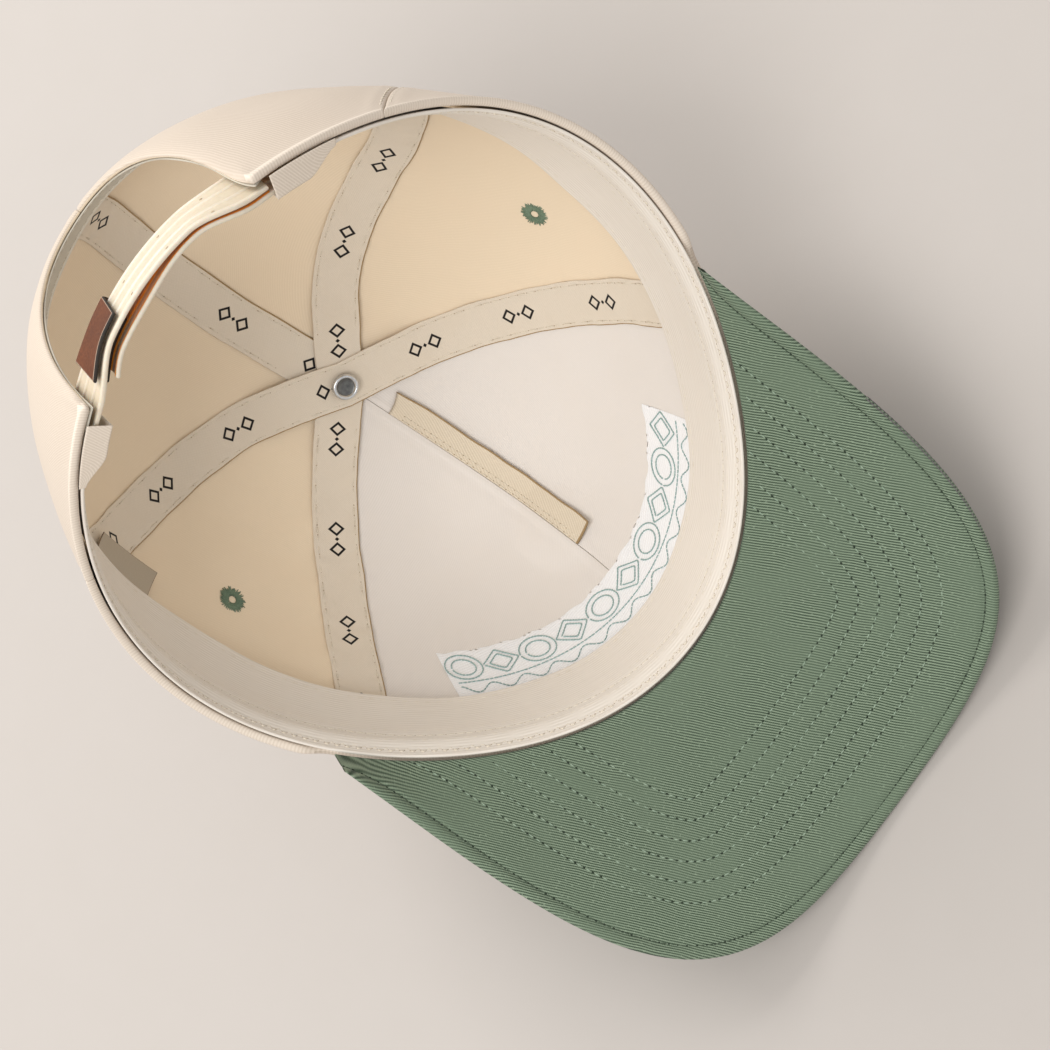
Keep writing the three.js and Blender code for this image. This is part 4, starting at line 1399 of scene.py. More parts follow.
@dataclass
class Peak:
    """The stiff peak with its rows of stitches."""

    finishes: Finishes
    half_span: float = 70.1
    root_reach: float = 84.2
    reach: float = 137.9
    nose: float = 10.8
    half_width: float = 81.7
    squareness: float = 4.0
    root_height: float = -9.7
    slope: float = -0.599
    arch: float = -0.0032
    dish: float = -0.0003
    twist: float = -0.027
    shoulder: float = 0.67
    thickness: float = 3.2
    corner_thickness: float = 1.6
    edge_row: float = 3.6
    first_row: float = 15.0
    row_step: float = 5.6
    row_count: int = 6
    groove_width: float = 0.75
    edge_sink: float = 0.5
    row_sink: float = 0.2
    needle_size: tuple[float, float, float] = (0.42, 0.3, 0.1)
    shade_line_share: float = 0.993
    shade_line_turns: tuple[float, float] = (-66.0, 38.0)
    slant: float = 1.17
    ease: float = 0.00138
    far_ease: float = 7.3e-6

    def outline(self, angle: Array) -> tuple[Array, Array]:
        """Plan of the outer edge for a turn from -90 degrees at the right corner to 90 at the left.

        Args:
            angle: Turns in radians.

        Returns:
            Worn x and y.
        """
        corner = np.radians(np.where(angle < 0, -1.0, 1.0) * self.half_span)
        root = CROWN.point(corner, np.zeros_like(corner))
        c, s = np.cos(angle), np.sin(angle)
        r = (np.abs(c) ** self.squareness + np.abs(s) ** self.squareness) ** (-1 / self.squareness)
        depth = self.reach - root[..., 0]
        x = root[..., 0] + depth * r * c + self.nose * (1 - (s * r) ** 2) * c
        share = np.clip((x - root[..., 0]) / depth / self.shoulder, 0.0, 1.0)
        width = mix(np.abs(root[..., 1]), self.half_width, np.sin(math.pi / 2 * share))
        return x, width * r * s

    def height(self, x: Array, y: Array) -> Array:
        """Height of the underside over the plan.

        Args:
            x: Worn x.
            y: Worn y.

        Returns:
            The heights.
        """
        out = x - self.root_reach
        bent = self.dish * out * out + self.arch * y * y
        return self.root_height + self.slope * out + self.twist * y + bent

    def under(self, angle: Array, share: Array) -> Array:
        """Underside from 0 at the crown to 1 at the outer edge, in worn millimetres.

        Args:
            angle: Turns in radians.
            share: The place from 0 to 1.

        Returns:
            The points.
        """
        root = CROWN.point(angle / (math.pi / 2) * math.radians(self.half_span), np.zeros_like(angle))
        edge_x, edge_y = self.outline(angle)
        x, y = mix(root[..., 0], edge_x, share), mix(root[..., 1], edge_y, share)
        fit = (root[..., 2] - self.height(root[..., 0], root[..., 1])) * (1 - share) ** 3
        return np.stack([x, y, self.height(x, y) + fit], axis=-1)

    def normal(self, points: Array) -> Array:
        """Upward normals as worn.

        Args:
            points: Points of the underside.

        Returns:
            The normals.
        """
        out = points[..., 0] - self.root_reach
        across = -self.twist - 2 * self.arch * points[..., 1]
        return unit(np.stack([-self.slope - 2 * self.dish * out, across, np.ones_like(out)], -1))

    def full(self, angle: Array) -> Array:
        """Thickness at a turn, which is less at the corners."""
        return mix(self.thickness, self.corner_thickness, smooth(np.degrees(np.abs(angle)), 70.0, 90.0))

    def angles(self, k: Array) -> Array:
        """Turns in radians for grid positions from 0 to 1."""
        return math.pi / 2 * np.sin((2 * k - 1) * math.pi / 2)

    def rows(self) -> list[float]:
        """Distances of the stitch rows from the outer edge."""
        return [self.edge_row] + [self.first_row + self.row_step * i for i in range(self.row_count)]

    def relief(self, distance: Array) -> Array:
        """How far the cloth sinks along the stitch rows.

        Args:
            distance: Distances from the outer edge.

        Returns:
            The depths.
        """
        sinks = [self.edge_sink] + [self.row_sink] * self.row_count
        away = [np.exp(-(((distance - row) / self.groove_width) ** 2)) for row in self.rows()]
        return sum(sink * groove for sink, groove in zip(sinks, away))

    def build(self) -> None:
        """Builds the peak and sews its rows."""
        twill = self.finishes.green_twill.material()
        u = np.linspace(0, 1, 181)
        near_edge = (0.05, 0.042, 0.034, 0.027, 0.021, 0.016, 0.011, 0.007, 0.004, 0.0015, 0.0004, 0.0)
        v = np.concatenate([[0.0, 0.004, 0.012], np.linspace(0.02, 0.94, 86), 1 - np.array(near_edge)])
        angle = self.angles(np.meshgrid(u, v, indexing="ij")[0])
        under = self.under(angle, np.meshgrid(u, v, indexing="ij")[1])
        normal = self.normal(under)
        edge, root = (border_distance(under, under[:, end]) for end in (-1, 0))
        full = self.full(angle)
        fullness = np.minimum(quarter_round(edge, 1.5), quarter_round(root, 0.6))
        wave = 0.1 * ripple(under[..., 0], under[..., 1], 22.0, 5) * smooth(edge, 0.0, 6.0)
        half = full / 2 * fullness - self.relief(edge) * fullness

        def face(_u: Array, _v: Array, sign: int) -> Array:
            """One face, sunk along the rows and kept above the floor."""
            points = lie(under + normal * (full / 2 + half * sign + wave)[..., None])
            points[..., 2] = np.maximum(points[..., 2], 0.02)
            return points

        def cloth(grid_u: Array, grid_v: Array) -> Array:
            """Cloth coordinates, along which the ribs close up to one side as they do on the real peak."""
            points = self.under(self.angles(grid_u), grid_v)
            side = points[..., 1]
            eased = side + self.ease * side**2 + self.far_ease * side**3
            return np.stack([points[..., 0] * self.slant, eased], -1)

        Shell("peak_cloth", u, v, face, cloth).build([twill], "green_twill", ["peak"])
        self.sew()

    def sew(self) -> None:
        """Sews the rows on both faces of the peak."""
        angle, share = np.meshgrid(self.angles(np.linspace(0, 1, 241)), np.linspace(0, 1, 121), indexing="ij")
        points = self.under(angle, share)
        distance = border_distance(points, points[::2, -1])
        # Dark beads between the peak's stitches: painted shade in the needle holes.
        hole = self.finishes.needle_hole_shade.material()
        pale = Stitching("peak_stitches", self.finishes.pale_thread.material(), hole, "green_twill")
        # The edge row's thread is darkened: painted shade of its groove.
        dark = Stitching("peak_edge_stitches", self.finishes.shaded_edge_thread.material(), hole, "green_twill")
        pale.hole_size = dark.hole_size = self.needle_size
        for number, row in enumerate(self.rows()):
            inside = distance[:, 0] > row + 0.15
            if not inside.any():
                continue
            line_angle = angle[inside, 0]
            line_share = np.array([np.interp(-row, -d, s) for d, s in zip(distance[inside], share[inside])])
            for side in (-1, 1):
                sink = self.row_sink - 0.02 if number else self.edge_sink - 0.04
                points, normals = self.on_face(line_angle, line_share, side, sink)
                (pale if number else dark).row(points, normals, 2.6, 1.5, 0.42 if number else 0.34, 0.03)
        pale.build()
        dark.build()
        self.paint_edge_shade()

    def on_face(self, angle: Array, share: Array, side: int, sink: float) -> tuple[Array, Array]:
        """Points and normals on one face of the peak.

        Args:
            angle: Turns of the places.
            share: 0 at the crown to 1 at the outer edge.
            side: 1 for the upper face as worn, -1 for the lower one.
            sink: How far below the face the points lie.

        Returns:
            Points and normals in the row frame.
        """
        line = self.under(angle, share)
        normal = self.normal(line)
        full = self.full(angle)
        level = full / 2 + (full / 2 - sink) * side
        return lie(line + normal * level[:, None]), turn(normal) * side

    def paint_edge_shade(self) -> None:
        """Lays a thin dark line of beads along the peak's front edge: painted shade for the edge's shaded
        side.
        """
        shade_beads = Stitching("peak_edge_joint", self.finishes.peak_edge_shade.material(), None, "green_twill")
        angle = np.radians(np.linspace(*self.shade_line_turns, 200))
        for side in (-1, 1):
            points, normals = self.on_face(angle, np.full(angle.shape, self.shade_line_share), side, 0.72)
            shade_beads.row(points, normals, 1.6, 1.7, 0.34, 0.0)
        shade_beads.build()


@dataclass
class Tapes:
    """The tapes over the inner seams, the folded seam edge at the front, and the arch's facing."""

    finishes: Finishes
    width: float = 14.4
    thickness: float = 0.55
    wall_gap: float = 0.2
    layer_step: float = 0.85
    top_radius: float = 7.0
    flat_top: float = 16.0
    pile_full: float = 17.0
    pile_none: float = 34.0
    start_height: float = 12.0
    stitch_inset: float = 1.3
    print_step: float = 31.0
    print_pair: float = 6.4
    fold_step: float = 6.5
    flap_width: float = 8.0
    flap_length: float = 62.0
    flap_thickness: float = 0.6
    flap_lift: float = 0.15
    flap_rises: tuple[float, float] = (0.413, 0.93)
    flap_rows: tuple[float, float] = (0.5, 1.9)
    flap_row_depth: float = 0.78
    facing_length: float = 190.0
    facing_thickness: float = 0.5
    facing_rows: tuple[float, float] = (0.1, 0.84)

    def half_run(self, seam: Seam, low: float) -> tuple[Array, Array]:
        """Azimuths and rises of a tape's middle from its low end to the top.

        Args:
            seam: The seam that it covers.
            low: Rise of its low end.

        Returns:
            The azimuths and rises.
        """
        top = float(CROWN.rise_at_radius(np.radians(seam.azimuth), self.top_radius))
        rise = low + (top - low) * np.linspace(0, 1, 90)
        if isinstance(seam, BackSeam):
            return np.radians(seam.azimuth - seam.swing * (1 - np.sin(math.pi * rise))), rise
        return seam.at(rise), rise

    def line(self, seams: Sequence[Seam], low: Optional[float] = None) -> dict[str, Array]:
        """Middle line of a tape over one or two seams.

        Args:
            seams: The seams.
            low: Rise of its low end, or None for one that starts at the rim.

        Returns:
            Its azimuth, rise, point, normal, side and distance from the low end.
        """
        parts = []
        for number, seam in enumerate(seams):
            start = low
            if start is None:
                start = float(CROWN.rise_at_height(np.radians(seam.azimuth), self.start_height))
            azimuth, rise = self.half_run(seam, start)
            parts.append((azimuth, rise) if number == 0 else (azimuth[::-1], rise[::-1]))
        if len(parts) > 1:
            parts.insert(1, (np.array([0.0]), np.array([1.0])))
        azimuth, rise = (np.concatenate([p[k] for p in parts]) for k in (0, 1))
        point = CROWN.point(azimuth, rise)
        normal = CROWN.normal(azimuth, rise)
        normal[rise == 1.0] = (0.0, 0.0, 1.0)
        side = unit(np.cross(normal, np.gradient(point, axis=0)))
        return dict(azimuth=azimuth, rise=rise, point=point, normal=normal, side=side, away=run_length(point))

    def surface(self, line: dict[str, Array], across: Array, layer: int, depth: Array) -> tuple[Array, Array]:
        """Points and outward normals beside a tape's middle line.

        Args:
            line: The middle line.
            across: Distances to the side, one row of them for each place of the line.
            layer: How many tapes lie between it and the crown at the top.
            depth: Further distance inwards.

        Returns:
            Worn points and outward normals, of the shape of across.
        """
        base = line["point"][:, None] + line["side"][:, None] * across[..., None]
        azimuth = np.broadcast_to(line["azimuth"][:, None], across.shape)
        rise = np.broadcast_to(line["rise"][:, None], across.shape)
        radius = CROWN.from_top(line["point"])[:, None]
        phi, t = CROWN.nearest(base, azimuth, np.clip(rise, 0.01, 0.98))
        share = smooth(radius, self.flat_top - 5.0, self.flat_top + 5.0)[..., None]
        flat_normal = np.broadcast_to(line["normal"][:, None], base.shape)
        point = mix(base, CROWN.point(phi, t), share)
        normal = unit(mix(flat_normal, CROWN.normal(phi, t), share))
        pile = layer * self.layer_step * (1 - smooth(radius, self.pile_full, self.pile_none))
        return point - normal * (self.wall_gap + pile + depth)[..., None], normal

    def tape(
        self,
        name: str,
        seams: Sequence[Seam],
        layer: int,
        material: bpy.types.Material,
        low: Optional[float] = None,
    ) -> dict[str, Array]:
        """Builds one tape.

        Args:
            name: Name of the CAD node.
            seams: The one or two seams that it covers.
            layer: How many tapes lie between it and the crown at the top.
            material: Its material.
            low: Rise of its low end, or None for one that starts at the rim.

        Returns:
            Its middle line.
        """
        line = self.line(seams, low)
        count = len(line["away"])
        v = np.linspace(0, 1, 2 * count - 1)
        dense = {k: self.refine(x, v) for k, x in line.items()}
        u = edged(self.width, 0.6, 12)
        length = dense["away"][-1]

        def face(grid_u: Array, _v: Array, sign: int) -> Array:
            """One face, puckered along the stitches and with small slanting folds between them."""
            away = np.broadcast_to(dense["away"][None, :], grid_u.shape)
            beside = np.abs(2 * grid_u - 1)
            wave = 0.22 * ripple(away, grid_u * 3.0, 16.0, layer + 21) * beside
            across = (grid_u - 0.5) * self.width + wave
            side = np.minimum(grid_u, 1 - grid_u) * self.width
            stitch = np.abs(side - self.stitch_inset)
            slant = (away + np.abs(across) * 0.8) * math.tau / self.fold_step
            fold = np.sin(slant + ripple(away, across, 18.0, layer + 51))
            pucker = 0.12 * np.exp(-((stitch / 0.6) ** 2)) - 0.1 * ripple(away, across, 9.0, layer + 31)
            pucker = pucker - 0.09 * fold * smooth(beside, 0.25, 0.8)
            end = np.minimum(away, length - away)
            half = self.thickness / 2 * np.minimum(quarter_round(side, 0.35), quarter_round(end, 0.35))
            depth = self.thickness / 2 + half * sign - pucker * (sign > 0)
            points, _ = self.surface(dense, across.T, layer, depth.T)
            return lie(np.swapaxes(points, 0, 1))

        def cloth(grid_u: Array, _v: Array) -> Array:
            """Cloth coordinates: across the tape, and true distance along it."""
            return np.stack([grid_u * self.width, np.broadcast_to(dense["away"][None, :], grid_u.shape)], -1)

        piece = Shell(f"{name}_cloth", u, v, face, cloth).build([material], "seam_tape", [name])
        # A thin brown line along one edge of the tape: painted shade for the shadow line at its lifted edge.
        trim(piece, self.finishes.painted_edge_shadow.material(), lambda across, _: across < 0.32)
        return dense

    @staticmethod
    def refine(values: Array, v: Array) -> Array:
        """Values of a line at positions from 0 to 1 along it.

        Args:
            values: The values, one row of them for each place.
            v: The positions.

        Returns:
            The values there.
        """
        old = np.linspace(0, 1, len(values))
        if values.ndim == 1:
            return np.interp(v, old, values)
        return np.stack([np.interp(v, old, values[:, a]) for a in range(values.shape[1])], -1)

    def sew(
        self, rows: Stitching, line: dict[str, Array], layer: int, cuts: Sequence[tuple[float, float]] = ()
    ) -> None:
        """Sews a row along each edge of a tape.

        Args:
            rows: The stitches to add to.
            line: The tape's middle line.
            layer: How many tapes lie between it and the crown at the top.
            cuts: Stretches of the line that another tape covers.
        """
        for side in (-1, 1):
            across = np.full((len(line["away"]), 1), side * (self.width / 2 - self.stitch_inset))
            depth = np.full(across.shape, self.thickness - 0.1)
            points, normals = self.surface(line, across, layer, depth)
            shown = np.ones(len(line["away"]), bool)
            for low, high in cuts:
                shown &= ~((line["away"] > low) & (line["away"] < high))
            for run in np.split(np.arange(len(shown)), np.flatnonzero(np.diff(shown.astype(int))) + 1):
                if shown[run[0]] and len(run) > 4:
                    rows.row(lie(points[run, 0]), -turn(normals[run, 0]), 3.0, 2.0, 0.34, 0.05)

    def flap(self, material: bpy.types.Material, rows: Stitching) -> bpy.types.Object:
        """Builds and sews the folded seam edge at the front, to the wearer's right of the seam.

        Args:
            material: Its material.
            rows: The stitches to add to.

        Returns:
            The finished piece.
        """
        width, length, thick, lift = self.flap_width, self.flap_length, self.flap_thickness, self.flap_lift
        low, high = self.flap_rises

        def middle(grid_u: Array, grid_v: Array) -> tuple[Array, Array, Array]:
            """Middle of the fold, whose free edge lifts and whose low end curls up."""
            rise = mix(low, high, grid_v)
            seam = SEAMS.front.at(rise)
            free = 1 - grid_u
            shift = width * free + 0.25 * ripple(rise * 140.0, free, 14.0, 44) * free
            curl = 1.1 * np.exp(-grid_v * length / 2.5) * free
            azimuth = seam - shift / CROWN.from_top(CROWN.point(seam, rise))
            return azimuth, rise, lift + 0.75 * free**2 + curl + thick / 2

        sheet = LaidSheet("front_seam_flap_cloth", (width, length), middle, thick / 2, (0.35, 0.5))
        u, v = edged(width, 0.5, 10), np.linspace(0, 1, 90)
        piece = sheet.build(u, v, material, "cream_twill", ["front_seam_flap"])
        # A brown line along the flap's free edge and its low end: painted shade for the shadow line at its
        # raised edge.
        trim(piece, self.finishes.painted_edge_shadow.material(), lambda across, along: across < 0.5 or along < 0.45)
        rise = np.linspace(low + 0.01, high - 0.02, 120)
        for across in self.flap_rows:
            azimuth = SEAMS.front.at(rise) - across / CROWN.from_top(CROWN.point(SEAMS.front.at(rise), rise))
            points = skin(azimuth, rise, np.full(rise.shape, -self.flap_row_depth))
            rows.row(points, -turn(CROWN.normal(azimuth, rise)), 2.4, 1.5, 0.3, 0.02)
        return piece

    def facing(self, material: bpy.types.Material, rows: Stitching) -> bpy.types.Object:
        """Builds and sews the facing along the inside of the rear arch.

        Args:
            material: Its material.
            rows: The stitches to add to.

        Returns:
            The finished piece.
        """
        width, length, half = ARCH.facing_width, self.facing_length, self.facing_thickness / 2

        def middle(grid_u: Array, grid_v: Array) -> tuple[Array, Array, Array]:
            """Middle of the facing, whose free edge lifts at the top of the arch."""
            away = 0.25 + grid_u * width + 0.2 * ripple(grid_v * length, grid_u, 17.0, 61)
            azimuth, rise = ARCH.place(*ARCH.beside(grid_v * math.pi, away))
            free = 1.7 + 0.5 * ripple(grid_v * length, grid_v, 30.0, 62)
            height = ARCH.edge(grid_v * math.pi)[1]
            return azimuth, rise, 0.42 + free * grid_u**2 * smooth(height, 30.0, 42.0)

        sheet = LaidSheet("arch_facing_cloth", (width, length), middle, half, (0.3, 0.3))
        u, v = edged(width, 0.5, 12), np.linspace(0, 1, 161)
        piece = sheet.build(u, v, material, "arch_facing", ["arch_facing"])
        trim(piece, self.finishes.facing_edge.material(), lambda across, _: across > width - 0.8)
        for share in self.facing_rows:
            azimuth, rise, depth = middle(np.full(240, share), np.linspace(0.02, 0.98, 240))
            points = skin(azimuth, rise, -(depth + half - 0.03))
            rows.row(points, -turn(CROWN.normal(azimuth, rise)), 2.8, 1.9, 0.32, 0.04)
        return piece

    def printed(self, material: bpy.types.Material) -> bpy.types.Material:
        """Prints small dark lozenges, each with a dot beside it, along the middle of a tape's cloth.

        Args:
            material: The tape's plain material.

        Returns:
            The same material, printed.
        """
        shade = Shade(material.node_tree)
        shader = material.node_tree.nodes["Principled BSDF"]
        plain = shader.inputs["Base Color"].links[0].from_socket
        cloth = shade.add("ShaderNodeUVMap", uv_map=CLOTH_MAP)
        split = shade.add("ShaderNodeSeparateXYZ", {0: cloth.outputs[0]})
        across = shade.math("ABSOLUTE", shade.math("SUBTRACT", split.outputs["X"], self.width / 2))

        def lozenge(start: float, width: float, length: float) -> bpy.types.NodeSocket:
            """Size of the lozenge, 1 at its corners, whose middle is that far before the step's."""
            shifted = shade.math("ADD", split.outputs["Y"], start)
            along = shade.math("FLOORED_MODULO", shifted, self.print_step)
            along = shade.math("ABSOLUTE", shade.math("SUBTRACT", along, self.print_step / 2))
            return shade.math("ADD", shade.math("DIVIDE", across, width), shade.math("DIVIDE", along, length))

        def mark(size: bpy.types.NodeSocket, full: float, none: float) -> bpy.types.NodeSocket:
            """Ink where the size is under full, and none past the other."""
            return shade.add("ShaderNodeMapRange", {0: size, 1: full, 2: none, 3: 1.0, 4: 0.0}).outputs[0]

        rims = []
        for start in (0.0, self.print_pair):
            away = shade.math("SUBTRACT", lozenge(start, 2.6, 2.3), 0.8)
            rims.append(mark(shade.math("ABSOLUTE", away), 0.16, 0.25))
        dot = mark(lozenge(self.print_pair / 2, 0.8, 0.7), 0.8, 1.0)
        ink = shade.math("MAXIMUM", shade.math("MAXIMUM", *rims), dot)
        shade.tree.links.new(shade.blend(ink, plain, (0.012, 0.010, 0.010)), shader.inputs["Base Color"])
        return material

    def build(self) -> tuple[bpy.types.Object, bpy.types.Object]:
        """Builds and sews the tapes, the flap and the facing.

        Returns:
            The flap and the facing.
        """
        tape = self.printed(self.finishes.tape.material())
        # Brown beads between the tape's stitches: painted shade in the needle holes.
        thread, hole = self.finishes.cream_thread.material(), self.finishes.cream_needle_hole_shade.material()
        rows = Stitching("tape_stitches", thread, hole, "seam_tape")
        arch_low = float(ARCH.place(0.0, ARCH.height + ARCH.facing_width + 0.7)[1])
        top = self.tape("tape_right_front_to_left_back", (SEAMS.right_front, SEAMS.left_back), 2, tape)
        under = self.tape("tape_right_back_to_left_front", (SEAMS.right_back, SEAMS.left_front), 1, tape)
        back = self.tape("tape_back", (SEAMS.back,), 0, tape, arch_low)
        self.sew(rows, top, 2)
        middle = under["away"][int(np.argmin(CROWN.from_top(under["point"])))]
        self.sew(rows, under, 1, ((middle - 13.0, middle + 13.0),))
        self.sew(rows, back, 0, ((back["away"][-1] - 12.0, back["away"][-1] + 1.0),))
        flap = self.flap(self.finishes.flap.material(), rows)
        facing = self.facing(self.finishes.facing.material(), rows)
        rows.build()
        return flap, facing


@dataclass
class Sweatband:
    """The band round the inside of the rim.

    Attributes:
        grooves: Height, width and depth of each groove along a sewn row.
        stitch_rows: Height, stitch step and zigzag swing of each row.
    """

    finishes: Finishes
    height: float = 30.0
    thickness: float = 0.9
    stand_off: float = 2.2
    strap_stand_off: float = 5.4
    end: float = 157.4
    mean_radius: float = 88.0
    slub: float = 0.05
    grooves: tuple[tuple[float, float, float], ...] = ((2.6, 0.7, 0.22), (8.4, 0.7, 0.2), (27.6, 0.5, 0.12))
    stitch_rows: tuple[tuple[float, float, float], ...] = (
        (2.4, 1.5, 0.55),
        (6.2, 2.8, 0.0),
        (9.0, 2.8, 0.0),
        (11.8, 3.0, 0.0),
        (27.6, 3.2, 0.0),
    )
    fold_start: float = 145.6
    fold_height: float = 0.95
    fold_half: float = 0.25
    fold_width: float = 6.0
    over_hem: float = 0.35

    def where(self, turn_at: Array, height: Array) -> tuple[Array, Array, Array]:
        """Azimuth, rise and depth of the band's places.

        Args:
            turn_at: Azimuths in degrees.
            height: Heights above the rim.

        Returns:
            The azimuths in radians, the rises and the depths.
        """
        azimuth = np.radians(turn_at)
        over_strap = smooth(np.abs(turn_at), 145.0, 151.5)
        over_tapes = mix(0.5, self.stand_off, smooth(height, 0.0, 7.0))
        wave = 0.35 * ripple(azimuth * self.mean_radius, height * 0.3, 42.0, 71) * smooth(height, 8.0, 30.0)
        depth = mix(over_tapes, self.strap_stand_off, over_strap) + wave
        return azimuth, CROWN.rise_at_height(azimuth, height), depth

    def build(self) -> None:
        """Builds the band and its folds over the strap's ends, and sews it."""
        cotton = self.finishes.sweatband.material()
        arc = 2 * math.radians(self.end) * self.mean_radius

        def middle(grid_u: Array, grid_v: Array) -> tuple[Array, Array, Array]:
            """Middle of the band."""
            azimuth, rise, depth = self.where(self.end * (2 * grid_u - 1), grid_v * self.height)
            return azimuth, rise, depth + self.thickness / 2

        def sunk(grid_v: Array) -> Array:
            """Depth of the grooves along the sewn rows."""
            height = grid_v * self.height
            return sum(depth * np.exp(-(((height - row) / width) ** 2)) for row, width, depth in self.grooves)

        half, rounds = self.thickness / 2, (0.5, 0.5)
        sheet = LaidSheet("sweatband_cloth", (arc, self.height), middle, half, rounds, self.slub, sunk)
        u, v = edged(arc, 0.6, 330), edged(self.height, 0.7, 26)
        piece = sheet.build(u, v, cotton, "sweatband_cotton", ["sweatband"])
        # Brown beads between the band's stitches: painted shade in the needle holes and beside the zigzag.
        thread, hole = self.finishes.cream_thread.material(), self.finishes.cream_needle_hole_shade.material()
        rows = Stitching("sweatband_stitches", thread, hole, "sweatband_cotton")
        turn_at = np.linspace(-self.end + 1.0, self.end - 1.0, 900)
        for height, pitch, stagger in self.stitch_rows:
            azimuth, rise, depth = self.where(turn_at, np.full(turn_at.shape, height))
            points = skin(azimuth, rise, -(depth + self.thickness - 0.16))
            normals = -turn(CROWN.normal(azimuth, rise))
            rows.row(points, normals, pitch, pitch * 0.7, 0.5 if stagger else 0.34, 0.04, stagger)
        rows.build()
        for name, side in (("rim_seam_fold_left", 1.0), ("rim_seam_fold_right", -1.0)):
            # The folds take the lighter hem twill: painted light at the rim.
            self.rim_fold(name, side, self.finishes.painted_light_hem_twill.material())

    def rim_fold(self, name: str, side: float, twill: bpy.types.Material) -> None:
        """Covers the strap's ends at the rim with the folded seam edge.

        Args:
            name: Name of the piece.
            side: 1 on the wearer's left, -1 on the right.
            twill: The cloth of the fold, the lighter hem twill with painted light.
        """
        run = math.radians(self.end - self.fold_start) * self.mean_radius
        u, v = edged(run, 0.5, 60), np.linspace(0, 1, 25)

        def face(grid_u: Array, grid_v: Array, sign: int) -> Array:
            """One face, laid across the rim from over the hem to the band."""
            turn_at = side * mix(self.fold_start, self.end, grid_u)
            azimuth, _, depth = self.where(turn_at, np.zeros_like(grid_u))
            width = depth + self.thickness - 0.1 + self.over_hem
            ends = np.minimum(grid_u, 1 - grid_u) * run
            border = np.minimum(np.minimum(grid_v, 1 - grid_v) * width, ends)
            below = self.fold_height + sign * self.fold_half * quarter_round(border, 0.35)
            offset = self.over_hem - grid_v * width
            rim = skin(azimuth, np.zeros_like(azimuth), offset)
            return 2 * rim - skin(azimuth, CROWN.rise_at_height(azimuth, below), offset)

        Shell(name, u, v, face, flat_cloth(run, self.fold_width)).build([twill], "cream_twill")


